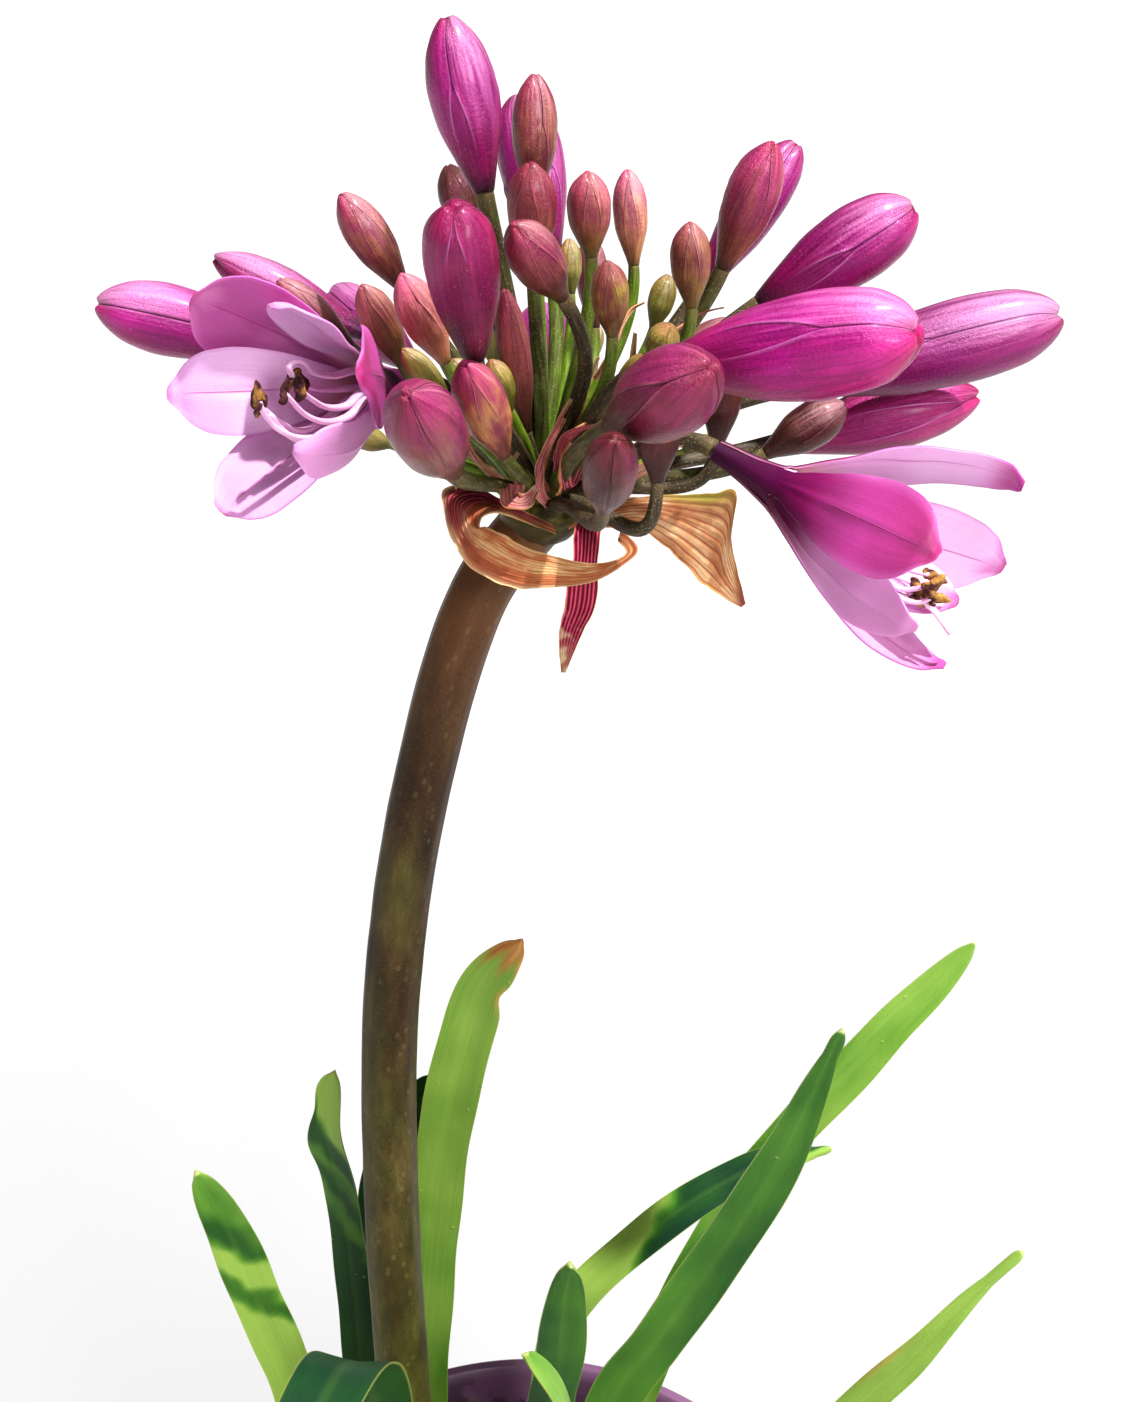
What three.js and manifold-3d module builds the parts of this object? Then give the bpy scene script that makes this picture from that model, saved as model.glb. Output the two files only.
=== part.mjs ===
// Agapanthus in its pot: a flower stalk with an umbel of buds and two open flowers, dried bracts,
// strap leaves, potting soil and a tapered plastic pot.
//
// Millimetres, +Z up. The origin is the centre of the pot's underside.

import * as THREE from 'three';
import { mergeVertices } from 'three/addons/utils/BufferGeometryUtils.js';
import Module from 'manifold-3d';

const wasm = await Module();
wasm.setup();

// ---------------------------------------------------------------- driving dimensions

const GAP = 0.3; // clearance between neighbouring pieces

const POT_HEIGHT = 130;
const POT_FOOT_RADIUS = 50;
const POT_BODY_TOP_RADIUS = 67;
const POT_RIM_RADIUS = 72;
const POT_BAND_HEIGHT = 17;
const POT_WALL = 2.2;
const POT_BAND_WALL = 3.4;
const POT_BASE = 3;
const POT_SIDES = 30;
const DRAIN_HOLES = 6;
const DRAIN_RADIUS = 5;
const DRAIN_CIRCLE_RADIUS = 36;
const DRAIN_SIDES = 8;

const SOIL_TOP = 118;
const SOIL_SHOULDER = 6; // how far below the top the soil meets the pot's wall
const SOIL_RELIEF = 1.4; // height of the lumps on top of the soil
const ROOTED_DEPTH = 18; // length of leaf or stalk below the soil's top
const NECK_HEIGHT = 4; // how far a leaf or stalk stays upright above the soil

const HUB = vector(5, 15, 391); // where the bud stalks spring from
const HEAD_RADIUS = 7.4; // swelling of the stalk's top
const HEAD_FLATNESS = 0.8; // its height as a share of its width
const SCAPE_FOOT_RADIUS = 6.5;
const SCAPE_TOP_RADIUS = 5.3;
const SCAPE_SIDES = 14;
const SCAPE_STEPS = 13;
const SCAPE_ROUTE = [
  [-27, 8, SOIL_TOP - ROOTED_DEPTH],
  [-27, 8, SOIL_TOP + NECK_HEIGHT],
  [-26.4, 8, 185],
  [-26.7, 8, 243],
  [-24.6, 8.6, 293],
  [-17.7, 10.2, 337],
  [-5.7, 12.6, 377],
  [5, 15, 391],
];

const PEDICEL_RADIUS = 1.4;
const PEDICEL_SIDES = 4;
const PEDICEL_STEPS = 4;
const PEDICEL_LIFT = [0.3, 0, 1]; // the way a bud stalk is drawn as it leaves the hub
const PEDICEL_LIFT_SHARE = 0.35;
const BUD_SIDES = 9; // a multiple of three, because a bud has three seams
const GREEN_BUD_SIDES = 6;
const BUD_SEAM = 0.93; // radius at a seam, as a share of the radius between seams
const BUD_SEAM_FACING = [0.31, 0.17, 0.93]; // the way a bud's first seam looks
const GREEN_BUD_SEAT = 0.5; // how far a green bud's foot is sunk in its stalk

const COLOURS = {
  pot: 0x82607c,
  soil: 0x3a2a20,
  scape: 0x5d4a34,
  leaf: 0x4c8a35,
  bract: 0xc98455,
  flower: 0xd987cd,
  ripe: 0xb5308a,
  half: 0x9c4a6a,
  young: 0x9a5f60,
  dusk: 0x6b3048,
  green: 0x8b8a4a,
};

// ---------------------------------------------------------------- buds

// Outline of a bud as [share of its length, share of its radius], from foot to tip.
const BUD_OUTLINES = {
  club: [[0, 0.3], [0.2, 0.62], [0.45, 0.92], [0.66, 1], [0.88, 0.76], [1, 0.12]],
  egg: [[0, 0.32], [0.18, 0.6], [0.42, 0.95], [0.62, 1], [0.86, 0.66], [1, 0.1]],
};
const BUD_OUTLINE_OF = { ripe: 'club', half: 'egg', young: 'egg', dusk: 'egg', green: 'egg' };

// Each bud: name, then bearing, rise and length of its stalk, measured from the hub, then bearing,
// rise and length of the bud itself, its width, its ripeness, and how far its stalk swings out
// behind it before it turns to the hub, as a share of the stalk's length.
// A bearing is in degrees from +X towards +Y and a rise in degrees above level.
const BUDS = [
  ['crown', -169, 79, 55, 151, 81, 26, 11, 'ripe', 0.3],
  ['left_magenta', -110, 50, 46, -101, 66, 25, 10.8, 'ripe', 0.3],
  ['behind_top_pink', 85, 63, 44, 123, 65, 28, 11.7, 'ripe', 0.3],
  ['top_brown', 88, 83, 52, 114, 83, 19, 7.4, 'half', 0.3],
  ['top_front_brown', -89, 79, 45, -107, 79, 16, 7.7, 'half', 0.3],
  ['s_stalk', -82, 60, 48, -128, 48, 17, 7.8, 'half', 0.5],
  ['dark_back', 121, 61, 48, 126, 57, 14, 6.5, 'dusk', 0.3],
  ['left_high', 168, 57, 44, -173, 61, 18, 7.2, 'half', 0.3],
  ['left_brown', -165, 51, 36, -145, 61, 15, 6.1, 'young', 0.3],
  ['mid_cone', -101, 64, 19, -127, 75, 25, 5.3, 'half', 0.3],
  ['left_pink', -136, 57, 37, -135, 59, 16, 6.8, 'young', 0.3],
  ['front_left_ball', -114, 28, 37, -101, 38, 29, 11.2, 'half', 0.3],
  ['front_left_orange', -103, 35, 30, -114, 54, 22, 7.8, 'half', 0.3],
  ['far_left', 166, 27, 55, 176, 16, 30, 12.4, 'ripe', 0.3],
  ['left_upper', 150, 36, 45, 171, 26, 29, 8.7, 'ripe', 0.3],
  ['left_upper_front', 166, 40, 43, -170, 42, 16, 5.7, 'half', 0.3],
  ['right_top', 0, 56, 51, -15, 68, 21, 8.5, 'half', 0.3],
  ['right_top_back', 25, 48, 47, 12, 60, 28, 9, 'ripe', 0.3],
  ['right_small', -19, 57, 45, -88, 81, 13, 6.4, 'young', 0.3],
  ['mid_small', -29, 77, 46, -141, 83, 13, 6.9, 'young', 0.3],
  ['mid_pink', 26, 68, 44, 104, 82, 15, 5.7, 'half', 0.3],
  ['mid_green', -60, 58, 43, -100, 66, 12, 5.8, 'young', 0.3],
  ['pink_back', 69, 43, 38, 110, 74, 16, 5.7, 'half', 0.3],
  ['right_upper', 12, 40, 51, 0, 37, 29, 12.9, 'ripe', 0.3],
  ['fore_giant', -55, 46, 49, -28, 10, 39, 15.4, 'ripe', 0.3],
  ['right_giant', 3, 25, 48, 0, 18, 45, 14.3, 'ripe', 0.3],
  ['right_dark', 16, 11, 44, 5, 12, 37, 12, 'ripe', 0.3],
  ['right_brown', -5, 17, 40, 0, 33, 15, 7.7, 'half', 0.3],
  ['brown_under', -6, 23, 33, 67, 86, 16, 6.6, 'dusk', 0.4],
  ['front_violet', -72, 32, 47, -53, 36, 24, 12.6, 'half', 0.3],
  ['front_ball', -76, 21, 40, -85, 42, 22, 8, 'dusk', 0.4],
  ['cone_hidden', -57, 25, 35, 57, 79, 13, 6.7, 'dusk', 0.5],
  ['back_ripe', 92, 12, 50, 88, 6, 32, 12, 'ripe', 0.3],
  ['back_ripe_left', 122, 20, 50, 128, 12, 29, 11, 'ripe', 0.3],
  ['back_half_right', 58, 16, 48, 52, 10, 25, 9, 'half', 0.3],
  ['back_half_low', 108, -6, 45, 112, -16, 21, 8, 'half', 0.3],
];

// The smallest green buds, still one with their stalks. Columns as for the larger buds.
const GREEN_BUDS = [
  ['left_green', -123, 45, 37, -140, 49, 12, 4.1, 'green', 0.3],
  ['dark_mid', -155, 64, 22, -144, 53, 11, 5.2, 'green', 0.3],
  ['brown_mid', -111, 58, 26, -124, 62, 10, 4.7, 'green', 0.3],
  ['olive_back', 72, 64, 38, 100, 77, 9, 4.1, 'green', 0.3],
  ['gold_back', 32, 52, 37, 41, 69, 9, 4.6, 'green', 0.3],
  ['brown_tiny', -30, 55, 36, -46, 55, 7, 5.2, 'green', 0.3],
  ['green_right', -36, 57, 28, -33, 53, 9, 3.4, 'green', 0.3],
  ['back_green_a', 75, 30, 36, 74, 40, 9, 4.4, 'green', 0.3],
  ['back_green_b', 108, 34, 34, 112, 46, 9, 4.4, 'green', 0.3],
  ['back_green_c', 40, 6, 34, 36, 2, 9, 4.6, 'green', 0.3],
  ['back_green_d', 142, 8, 36, 146, 4, 9, 4.6, 'green', 0.3],
];

// ---------------------------------------------------------------- bracteoles

const BRACTEOLE_STEPS = 5;
const BRACTEOLE_FACING = [0.2, -1, 0.3];

// Dried ribbons between the bud stalks: points from the hub, then width.
const BRACTEOLES = [
  { points: [[2, -4, 2], [0, -12, 8], [1, -13, 16], [4, -12, 23]], width: 2.6 },
  { points: [[3, -3, 3], [7, -11, 10], [9, -11, 17], [14, -12, 20]], width: 3.2 },
  { points: [[4, -2, 3], [8, -6, 12], [11, -5, 20], [13, -5, 28]], width: 2.6 },
  { points: [[3, -2, 4], [7, -7, 12], [9, -8, 19], [10, -8, 25]], width: 2.4 },
];

// ---------------------------------------------------------------- open flowers

const TUBE_LENGTH = 15;
const TUBE_FOOT_RADIUS = 1.7;
const TUBE_THROAT_RADIUS = 4.6;
const TUBE_SIDES = 9;
const TEPAL_THICKNESS = 0.75;
const TEPAL_RING_RADII = [3.2, 4]; // tepals root on an inner and an outer ring in turn
const TEPAL_OUTLINE = [[0, 0.26], [0.25, 0.56], [0.5, 0.9], [0.65, 1], [0.83, 0.87], [1, 0.14]];
const TEPAL_CUP = [[0, 0.4], [0.25, 1.2], [0.6, 1], [1, 0.2]]; // rise of the edges over the midrib
const TEPAL_STEPS = 6;
const TEPAL_COLUMNS = 4;
const FILAMENT_RADIUS = 0.5;
const FILAMENT_RING_RADII = [1.6, 2, 4.4, 3.8]; // distance from the axis: root, throat, bend, tip
const ANTHER_LENGTH = 3.6;

const ANTHER_RADII = [0.5, 0.9]; // at its ends and in its middle

// Each tepal: angle round the flower, length, width, lean at the throat, lean at the tip.
// Angles are in degrees, and a lean is measured from the flower's axis outwards.
const FLOWERS = [
  {
    name: 'flower_left',
    stalk: [168, 46, 30],
    axis: [-128, 9],
    swing: 0.3,
    tepals: [
      [8, 23, 11.5, 39, 22],
      [52, 29, 17.5, 32, 37],
      [99, 30.5, 14, 22, 64],
      [161, 30, 16.5, 29, 46],
      [-114, 33, 11, 45, -16],
      [-73, 32.5, 15.5, 42, 32],
    ],
    stamenReach: 15,
    stamenDroop: -14,
  },
  {
    name: 'flower_right',
    stalk: [-23, 26, 34],
    axis: [-28, -21],
    swing: 0.3,
    tepals: [
      [-45, 37.5, 15, 41, 8],
      [-97, 40, 14.5, 10, 54],
      [-143, 34.5, 10.5, 18, -20],
      [58, 33.5, 15, 34, 25],
      [108, 33.5, 12.5, 32, -6],
      [183, 39, 13, 30, -8],
    ],
    stamenReach: 22,
    stamenDroop: -6,
  },
];

// ---------------------------------------------------------------- spathe bracts

const BRACT_THICKNESS = 0.7;
const BRACT_COLUMNS = 3;

// Rows across each bract, from its root to its tip: one edge point, then the other, from the hub.
const BRACTS = {
  bract_left: [
    [[2, -8.3, 0.6], [2.5, -7.9, -1.2]],
    [[-1.5, -9, 2.6], [-0.5, -9.4, 0.5]],
    [[-5.5, -9, 4.6], [-3.5, -10.4, 2.2]],
    [[-12, -7, 7], [-7.5, -12, 4]],
    [[-16, -9, 6.5], [-9.5, -13.5, 3.6]],
    [[-15.5, -12, 2.5], [-10, -15.5, 2.8]],
    [[-14, -14, -1], [-9, -16, 3]],
    [[-11.5, -16, -4], [-7, -16.5, 2.5]],
    [[-5, -18.5, -6.5], [-2.5, -17, 0]],
    [[2, -20, -6], [3, -18, -1.5]],
    [[8, -20.5, -5], [8, -19, -2.2]],
    [[12, -19, -3.6], [11.5, -18.5, -2]],
    [[16, -16, -1], [14, -16.5, -1.5]],
    [[13.5, -13, 1.5], [13, -13, -0.5]],
  ],
  bract_middle: [
    [[4.6, -6.8, -0.6], [7.2, -4.6, -0.6]],
    [[6, -9, 1], [10.3, -9, 1]],
    [[5.5, -12, 0.5], [10, -12, 0.5]],
    [[5.5, -14, -3], [9.5, -14, -3]],
    [[4.5, -14.5, -7.5], [9.5, -14.5, -7.5]],
    [[4, -14.5, -12], [9, -14.5, -12]],
    [[3, -14, -16.5], [7, -14, -16.5]],
    [[3.4, -13, -24.5], [4.2, -13, -24.5]],
  ],
  bract_right: [
    [[8.1, -2.6, -1.5], [8.3, -0.8, 1.5]],
    [[11, -5.5, -1], [12.5, -2.5, 3]],
    [[15.5, -7, 0], [19.5, -4.6, 4.4]],
    [[21.5, -7.5, -4], [28, -5, 4.8]],
    [[27.5, -8, -10], [32.5, -4, 4.8]],
    [[31, -8, -12.5], [32.5, -4, -4]],
    [[34.4, -7, -15], [35.2, -6.5, -14.5]],
  ],
};

// ---------------------------------------------------------------- leaves

const LEAF_THICKNESS = 2;
const LEAF_EDGE_THICKNESS = 0.9;
const LEAF_TIP_SHARE = 0.16; // width of the blunt tip, as a share of the leaf's width
const LEAF_STEPS = 9;
const LEAF_CHANNEL = 0.1; // rise of the edges over the midrib, as a share of the width

// Each leaf: the points of its midrib from root to tip, its width, the share of its length where it
// starts to taper, how pointed its tip is, and the way its upper face looks at root and tip.
const LEAVES = [
  {
    name: 'leaf_left',
    points: [
      [-39, -3, 118], [-43.5, -3, 160], [-48, -3.5, 203.5], [-53, -7, 231.5], [-56.5, -11, 254],
      [-60, -15, 271],
    ],
    width: 9.5,
    taper: 0.72,
    facing: [[0.3, -0.9, 0.2], [0.4, -0.9, 0.2]],
  },
  {
    name: 'leaf_notched',
    points: [
      [-38, 18, 118], [-37, 18, 165], [-37, 18, 208.5], [-38.5, 18, 238.5], [-40.5, 17, 257],
      [-38, 16, 270],
    ],
    width: 8,
    taper: 0.85,
    facing: [[0, -1, 0], [-0.4, -0.9, 0]],
  },
  {
    name: 'leaf_tall',
    points: [
      [-24, 21, 118], [-23, 21, 180], [-21, 22.5, 207], [-19.5, 23, 223], [-16, 23, 250],
      [-11.5, 23, 271.5], [-6.5, 23, 287.5], [0.5, 22, 298],
    ],
    width: 11.5,
    taper: 0.82,
    facing: [[0, -1, 0], [-0.2, -0.9, 0.2]],
  },
  {
    name: 'leaf_behind_scape',
    points: [[-31, 31, 118], [-31, 31, 192], [-30, 32, 226], [-25, 33, 243], [-18.5, 34, 255]],
    width: 13,
    taper: 0.8,
    facing: [[0, -1, 0], [0, -1, 0.2]],
  },
  {
    name: 'leaf_front_arch',
    points: [
      [-26, -20, 118], [-26, -27, 175], [-25.5, -40, 240], [-26, -52, 261], [-28, -64, 271], [-32, -78, 270],
      [-37, -92, 255], [-40, -101, 238],
    ],
    width: 13,
    taper: 0.7,
    facing: [[0, 1, 0.3], [0, -0.5, 0.9]],
  },
  {
    name: 'leaf_front_short',
    points: [
      [5, -26, 118], [5.8, -32, 180], [6.5, -36, 235], [8, -38, 246.5], [9, -41, 262],
      [10, -44, 276.5],
    ],
    width: 8.8,
    taper: 0.8,
    facing: [[0, -1, 0.1], [0, -1, 0.2]],
  },
  {
    name: 'leaf_edge_on',
    points: [[20, -32, 118], [16, -40, 180], [8.2, -48, 248], [2.2, -50, 262]],
    width: 7,
    taper: 0.8,
    facing: [[1, 0, 0.2], [1, 0, 0.2]],
  },
  {
    name: 'leaf_big_right',
    points: [
      [3, -12, 118], [10, -12.5, 165], [19.5, -13, 211], [27.5, -14.5, 228], [36, -15.5, 246],
      [43.5, -16, 262], [50, -16, 277.5], [54.5, -16, 292], [58.5, -16, 304.5],
    ],
    width: 10.6,
    taper: 0.6,
    point: 0.8,
    facing: [[0, -1, 0.2], [-0.1, -1, 0.2]],
  },
  {
    name: 'leaf_far_right',
    points: [
      [14, 16, 118], [27, 17, 182], [44, 18, 230], [58, 19.5, 253], [70, 21, 268.5],
      [77, 22.5, 277.5], [84, 24, 285], [92.4, 26, 294.6],
    ],
    width: 8.8,
    taper: 0.75,
    facing: [[-0.2, -1, 0.3], [-0.2, -0.9, 0.4]],
  },
  {
    name: 'leaf_arched_right',
    points: [
      [4, 2, 118], [5, 2, 170], [8, 3, 212], [13, 4, 222], [25.5, 7, 234], [35, 9, 241.5],
      [44, 11, 246.5], [51, 12, 250], [59, 13, 251], [64.5, 13, 252.5],
    ],
    width: 7.8,
    taper: 0.75,
    point: 0.8,
    facing: [[-0.3, -1, 0], [0, -0.7, 0.7]],
  },
  {
    name: 'leaf_low_right',
    points: [
      [34, -6, 118], [46, -8, 153], [60, -9, 184], [72, -9, 205.5], [80.5, -10, 218.5],
      [90.5, -10, 235], [99, -10, 246.5],
    ],
    width: 8.7,
    taper: 0.35,
    point: 1,
    facing: [[-0.5, -0.7, 0.3], [-0.3, -0.7, 0.6]],
  },
  {
    name: 'leaf_trailing_left',
    points: [[-50, 4, 118], [-57, 3, 152], [-70, 2, 171], [-88, 1, 174], [-106, 0, 158], [-120, -1, 130]],
    width: 11,
    taper: 0.6,
    point: 0.8,
    facing: [[1, 0, 0.3], [0, 0, 1]],
  },
  {
    name: 'leaf_trailing_right',
    points: [[50, 10, 118], [59, 13, 144], [74, 20, 158], [93, 27, 152], [110, 32, 133], [122, 36, 106]],
    width: 11,
    taper: 0.6,
    point: 0.8,
    facing: [[-1, -0.3, 0.3], [0, 0, 1]],
  },
  {
    name: 'leaf_trailing_front',
    points: [
      [30, -36, 118], [36, -45, 160], [44, -62, 190], [54, -84, 194], [62, -104, 172], [68, -118, 140],
    ],
    width: 12,
    taper: 0.6,
    point: 0.8,
    facing: [[-0.4, 0.9, 0.3], [0, 0, 1]],
  },
  {
    name: 'leaf_trailing_near_left',
    points: [[-44, -26, 118], [-52, -35, 158], [-66, -50, 182], [-84, -68, 180], [-98, -84, 156]],
    width: 10,
    taper: 0.6,
    point: 0.8,
    facing: [[0.7, 0.7, 0.3], [0, 0, 1]],
  },
];

// ---------------------------------------------------------------- vectors

function vector(x, y, z) {
  return new THREE.Vector3(x, y, z);
}

// Unit vector at a bearing from +X towards +Y and a rise above level, both in degrees.
function direction(bearing, rise) {
  const turn = THREE.MathUtils.degToRad(bearing);
  const lift = THREE.MathUtils.degToRad(rise);
  return vector(Math.cos(turn) * Math.cos(lift), Math.sin(turn) * Math.cos(lift), Math.sin(lift));
}

function moved(point, along, distance) {
  return point.clone().addScaledVector(along, distance);
}

function fromHub([x, y, z]) {
  return vector(x, y, z).add(HUB);
}

// Unit vector across `along`, as close to `wanted` as a right angle allows.
function squareTo(along, wanted) {
  return wanted.clone().addScaledVector(along, -wanted.dot(along)).normalize();
}

// Value at x on the straight lines through a list of [x, value] pairs.
function lookUp(pairs, x) {
  for (let i = 1; i < pairs.length; i += 1) {
    const [x0, y0] = pairs[i - 1];
    const [x1, y1] = pairs[i];
    if (x <= x1) {
      return y0 + ((y1 - y0) * Math.max(0, x - x0)) / (x1 - x0);
    }
  }
  return pairs[pairs.length - 1][1];
}

// ---------------------------------------------------------------- closed surfaces

// Closed geometry from points and triangles, wound so that its faces look outwards.
function closedGeometry(points, triangles) {
  let volume = 0;
  for (const [a, b, c] of triangles) {
    volume += points[a].dot(points[b].clone().cross(points[c]));
  }
  const outward = volume > 0 ? triangles : triangles.map(([a, b, c]) => [a, c, b]);
  const geometry = new THREE.BufferGeometry();
  geometry.setAttribute('position', new THREE.Float32BufferAttribute(points.flatMap((p) => p.toArray()), 3));
  geometry.setIndex(outward.flat());
  return geometry;
}

// Skin over a row of rings with equal numbers of points, closed by a fan at both ends.
function loft(rings) {
  const count = rings[0].length;
  const points = rings.flat();
  const triangles = [];
  for (let ring = 0; ring + 1 < rings.length; ring += 1) {
    for (let i = 0; i < count; i += 1) {
      const a = ring * count + i;
      const b = ring * count + ((i + 1) % count);
      triangles.push([a, b, b + count], [a, b + count, a + count]);
    }
  }
  for (const [start, flip] of [[0, true], [(rings.length - 1) * count, false]]) {
    const middle = points.length;
    const centre = vector(0, 0, 0);
    for (let i = 0; i < count; i += 1) {
      centre.addScaledVector(points[start + i], 1 / count);
    }
    points.push(centre);
    for (let i = 0; i < count; i += 1) {
      const a = start + i;
      const b = start + ((i + 1) % count);
      triangles.push(flip ? [b, a, middle] : [a, b, middle]);
    }
  }
  return closedGeometry(points, triangles);
}

// Thin sheet between two grids of points: rows run along it and columns across it.
// Both faces are split along the same diagonals, so that they never cross.
function sheet(top, bottom) {
  const rows = top.length;
  const columns = top[0].length;
  const points = [...top.flat(), ...bottom.flat()];
  const offset = rows * columns;
  const at = (row, column) => row * columns + column;
  const triangles = [];
  const side = (a, b) => {
    triangles.push([a, b, b + offset], [a, b + offset, a + offset]);
  };
  for (let row = 0; row + 1 < rows; row += 1) {
    for (let column = 0; column + 1 < columns; column += 1) {
      const a = at(row, column);
      const b = at(row, column + 1);
      const c = at(row + 1, column + 1);
      const d = at(row + 1, column);
      triangles.push([a, c, b], [a, d, c]);
      triangles.push([a + offset, b + offset, c + offset], [a + offset, c + offset, d + offset]);
    }
    side(at(row + 1, 0), at(row, 0));
    side(at(row, columns - 1), at(row + 1, columns - 1));
  }
  for (let column = 0; column + 1 < columns; column += 1) {
    side(at(0, column), at(0, column + 1));
    side(at(rows - 1, column + 1), at(rows - 1, column));
  }
  return closedGeometry(points, triangles);
}

// Blade over a list of stations, each with centre, across (unit), up (unit), width, rise of the
// edges over the middle, and thickness at the middle and at the edges.
function blade(stations, columns, grow = 0) {
  const top = [];
  const bottom = [];
  for (const { centre, across, up, width, rise, thick, thin } of stations) {
    const topRow = [];
    const bottomRow = [];
    for (let column = 0; column <= columns; column += 1) {
      const u = (2 * column) / columns - 1;
      const half = (thick + (thin - thick) * Math.abs(u)) / 2 + grow;
      const level = rise * u * u;
      const middle = moved(moved(centre, across, u * (width / 2 + grow)), up, level);
      topRow.push(moved(middle, up, half));
      bottomRow.push(moved(middle, up, -half));
    }
    top.push(topRow);
    bottom.push(bottomRow);
  }
  return sheet(top, bottom);
}

// Round tube along a curve, with its radius given by a function of the share of its length.
function tube(curve, radiusAt, sides, steps) {
  const frames = curve.computeFrenetFrames(steps);
  const rings = [];
  for (let step = 0; step <= steps; step += 1) {
    const share = step / steps;
    const centre = curve.getPointAt(share);
    const ring = [];
    for (let i = 0; i < sides; i += 1) {
      const angle = (2 * Math.PI * i) / sides;
      const spoke = frames.normals[step].clone().multiplyScalar(Math.cos(angle));
      spoke.addScaledVector(frames.binormals[step], Math.sin(angle));
      ring.push(moved(centre, spoke, radiusAt(share)));
    }
    rings.push(ring);
  }
  return loft(rings);
}

// ---------------------------------------------------------------- solids

function solidOf(geometry) {
  const bare = geometry.index ? geometry : mergeVertices(geometry);
  const mesh = new wasm.Mesh({
    numProp: 3,
    vertProperties: Float32Array.from(bare.attributes.position.array),
    triVerts: Uint32Array.from(bare.index.array),
  });
  return new wasm.Manifold(mesh);
}

function geometryOf(solid) {
  const mesh = solid.getMesh();
  const geometry = new THREE.BufferGeometry();
  geometry.setAttribute('position', new THREE.Float32BufferAttribute(mesh.vertProperties, 3));
  geometry.setIndex([...mesh.triVerts]);
  return geometry;
}

function fused(geometries) {
  return geometries.map(solidOf).reduce((whole, next) => whole.add(next));
}

function meshOf(name, geometry, colour, roughness) {
  const material = new THREE.MeshStandardMaterial({ color: colour, roughness, metalness: 0 });
  const mesh = new THREE.Mesh(geometry, material);
  mesh.name = name;
  return mesh;
}

// ---------------------------------------------------------------- buds and their stalks

function readBud([name, ...numbers]) {
  const [stalkBearing, stalkRise, stalkLength, bearing, rise, length, width, tone, swing] = numbers;
  const foot = moved(HUB, direction(stalkBearing, stalkRise), stalkLength);
  return { name, foot, axis: direction(bearing, rise), length, radius: width / 2, tone, swing };
}

function budSolid(bud, start, sides = BUD_SIDES) {
  const outline = BUD_OUTLINES[BUD_OUTLINE_OF[bud.tone]];
  const across = squareTo(bud.axis, vector(...BUD_SEAM_FACING));
  const other = bud.axis.clone().cross(across);
  const rings = outline.map(([share, width]) => {
    const centre = moved(bud.foot, bud.axis, start + share * (bud.length - start));
    const ring = [];
    for (let i = 0; i < sides; i += 1) {
      const angle = (2 * Math.PI * i) / sides;
      const seam = i % (sides / 3) === 0 ? BUD_SEAM : 1;
      const radius = bud.radius * width * seam;
      ring.push(moved(moved(centre, across, radius * Math.cos(angle)), other, radius * Math.sin(angle)));
    }
    return ring;
  });
  return loft(rings);
}

// A stalk leaves the hub on its own line, tilted a little up, and arrives along its bud's axis.
function stalkCurve(foot, axis, swing) {
  const reach = foot.distanceTo(HUB);
  const outward = foot.clone().sub(HUB).normalize();
  const start = moved(HUB, outward, 0.7 * HEAD_RADIUS);
  const first = moved(outward, vector(...PEDICEL_LIFT), PEDICEL_LIFT_SHARE).normalize();
  return new THREE.CubicBezierCurve3(
    start,
    moved(start, first, 0.35 * reach),
    moved(foot, axis, -swing * reach),
    foot,
  );
}

function stalkSolid(bud) {
  const footRadius = bud.radius * BUD_OUTLINES[BUD_OUTLINE_OF[bud.tone]][0][1];
  const radiusAt = (share) => PEDICEL_RADIUS + (footRadius - PEDICEL_RADIUS) * share ** 4;
  return tube(stalkCurve(bud.foot, bud.axis, bud.swing), radiusAt, PEDICEL_SIDES, PEDICEL_STEPS);
}

// ---------------------------------------------------------------- scape

function scapeCurve() {
  return new THREE.CatmullRomCurve3(SCAPE_ROUTE.map(([x, y, z]) => vector(x, y, z)));
}

function scapeRadius(share) {
  return SCAPE_TOP_RADIUS + (SCAPE_FOOT_RADIUS - SCAPE_TOP_RADIUS) * (1 - share) ** 2;
}

function headGeometry() {
  const head = new THREE.SphereGeometry(HEAD_RADIUS, 12, 8);
  head.deleteAttribute('normal');
  head.deleteAttribute('uv');
  return mergeVertices(head.scale(1, 1, HEAD_FLATNESS).translate(HUB.x, HUB.y, HUB.z));
}

function bracteoleSolid({ points, width }) {
  const curve = new THREE.CatmullRomCurve3(points.map(fromHub));
  const stations = [];
  for (let step = 0; step <= BRACTEOLE_STEPS; step += 1) {
    const share = step / BRACTEOLE_STEPS;
    const along = curve.getTangentAt(share);
    const up = squareTo(along, vector(...BRACTEOLE_FACING));
    stations.push({
      centre: curve.getPointAt(share),
      across: along.clone().cross(up),
      up,
      width: width * (1.05 - 0.75 * share),
      rise: 0.3,
      thick: 0.8,
      thin: 0.7,
    });
  }
  return blade(stations, 2);
}

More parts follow.
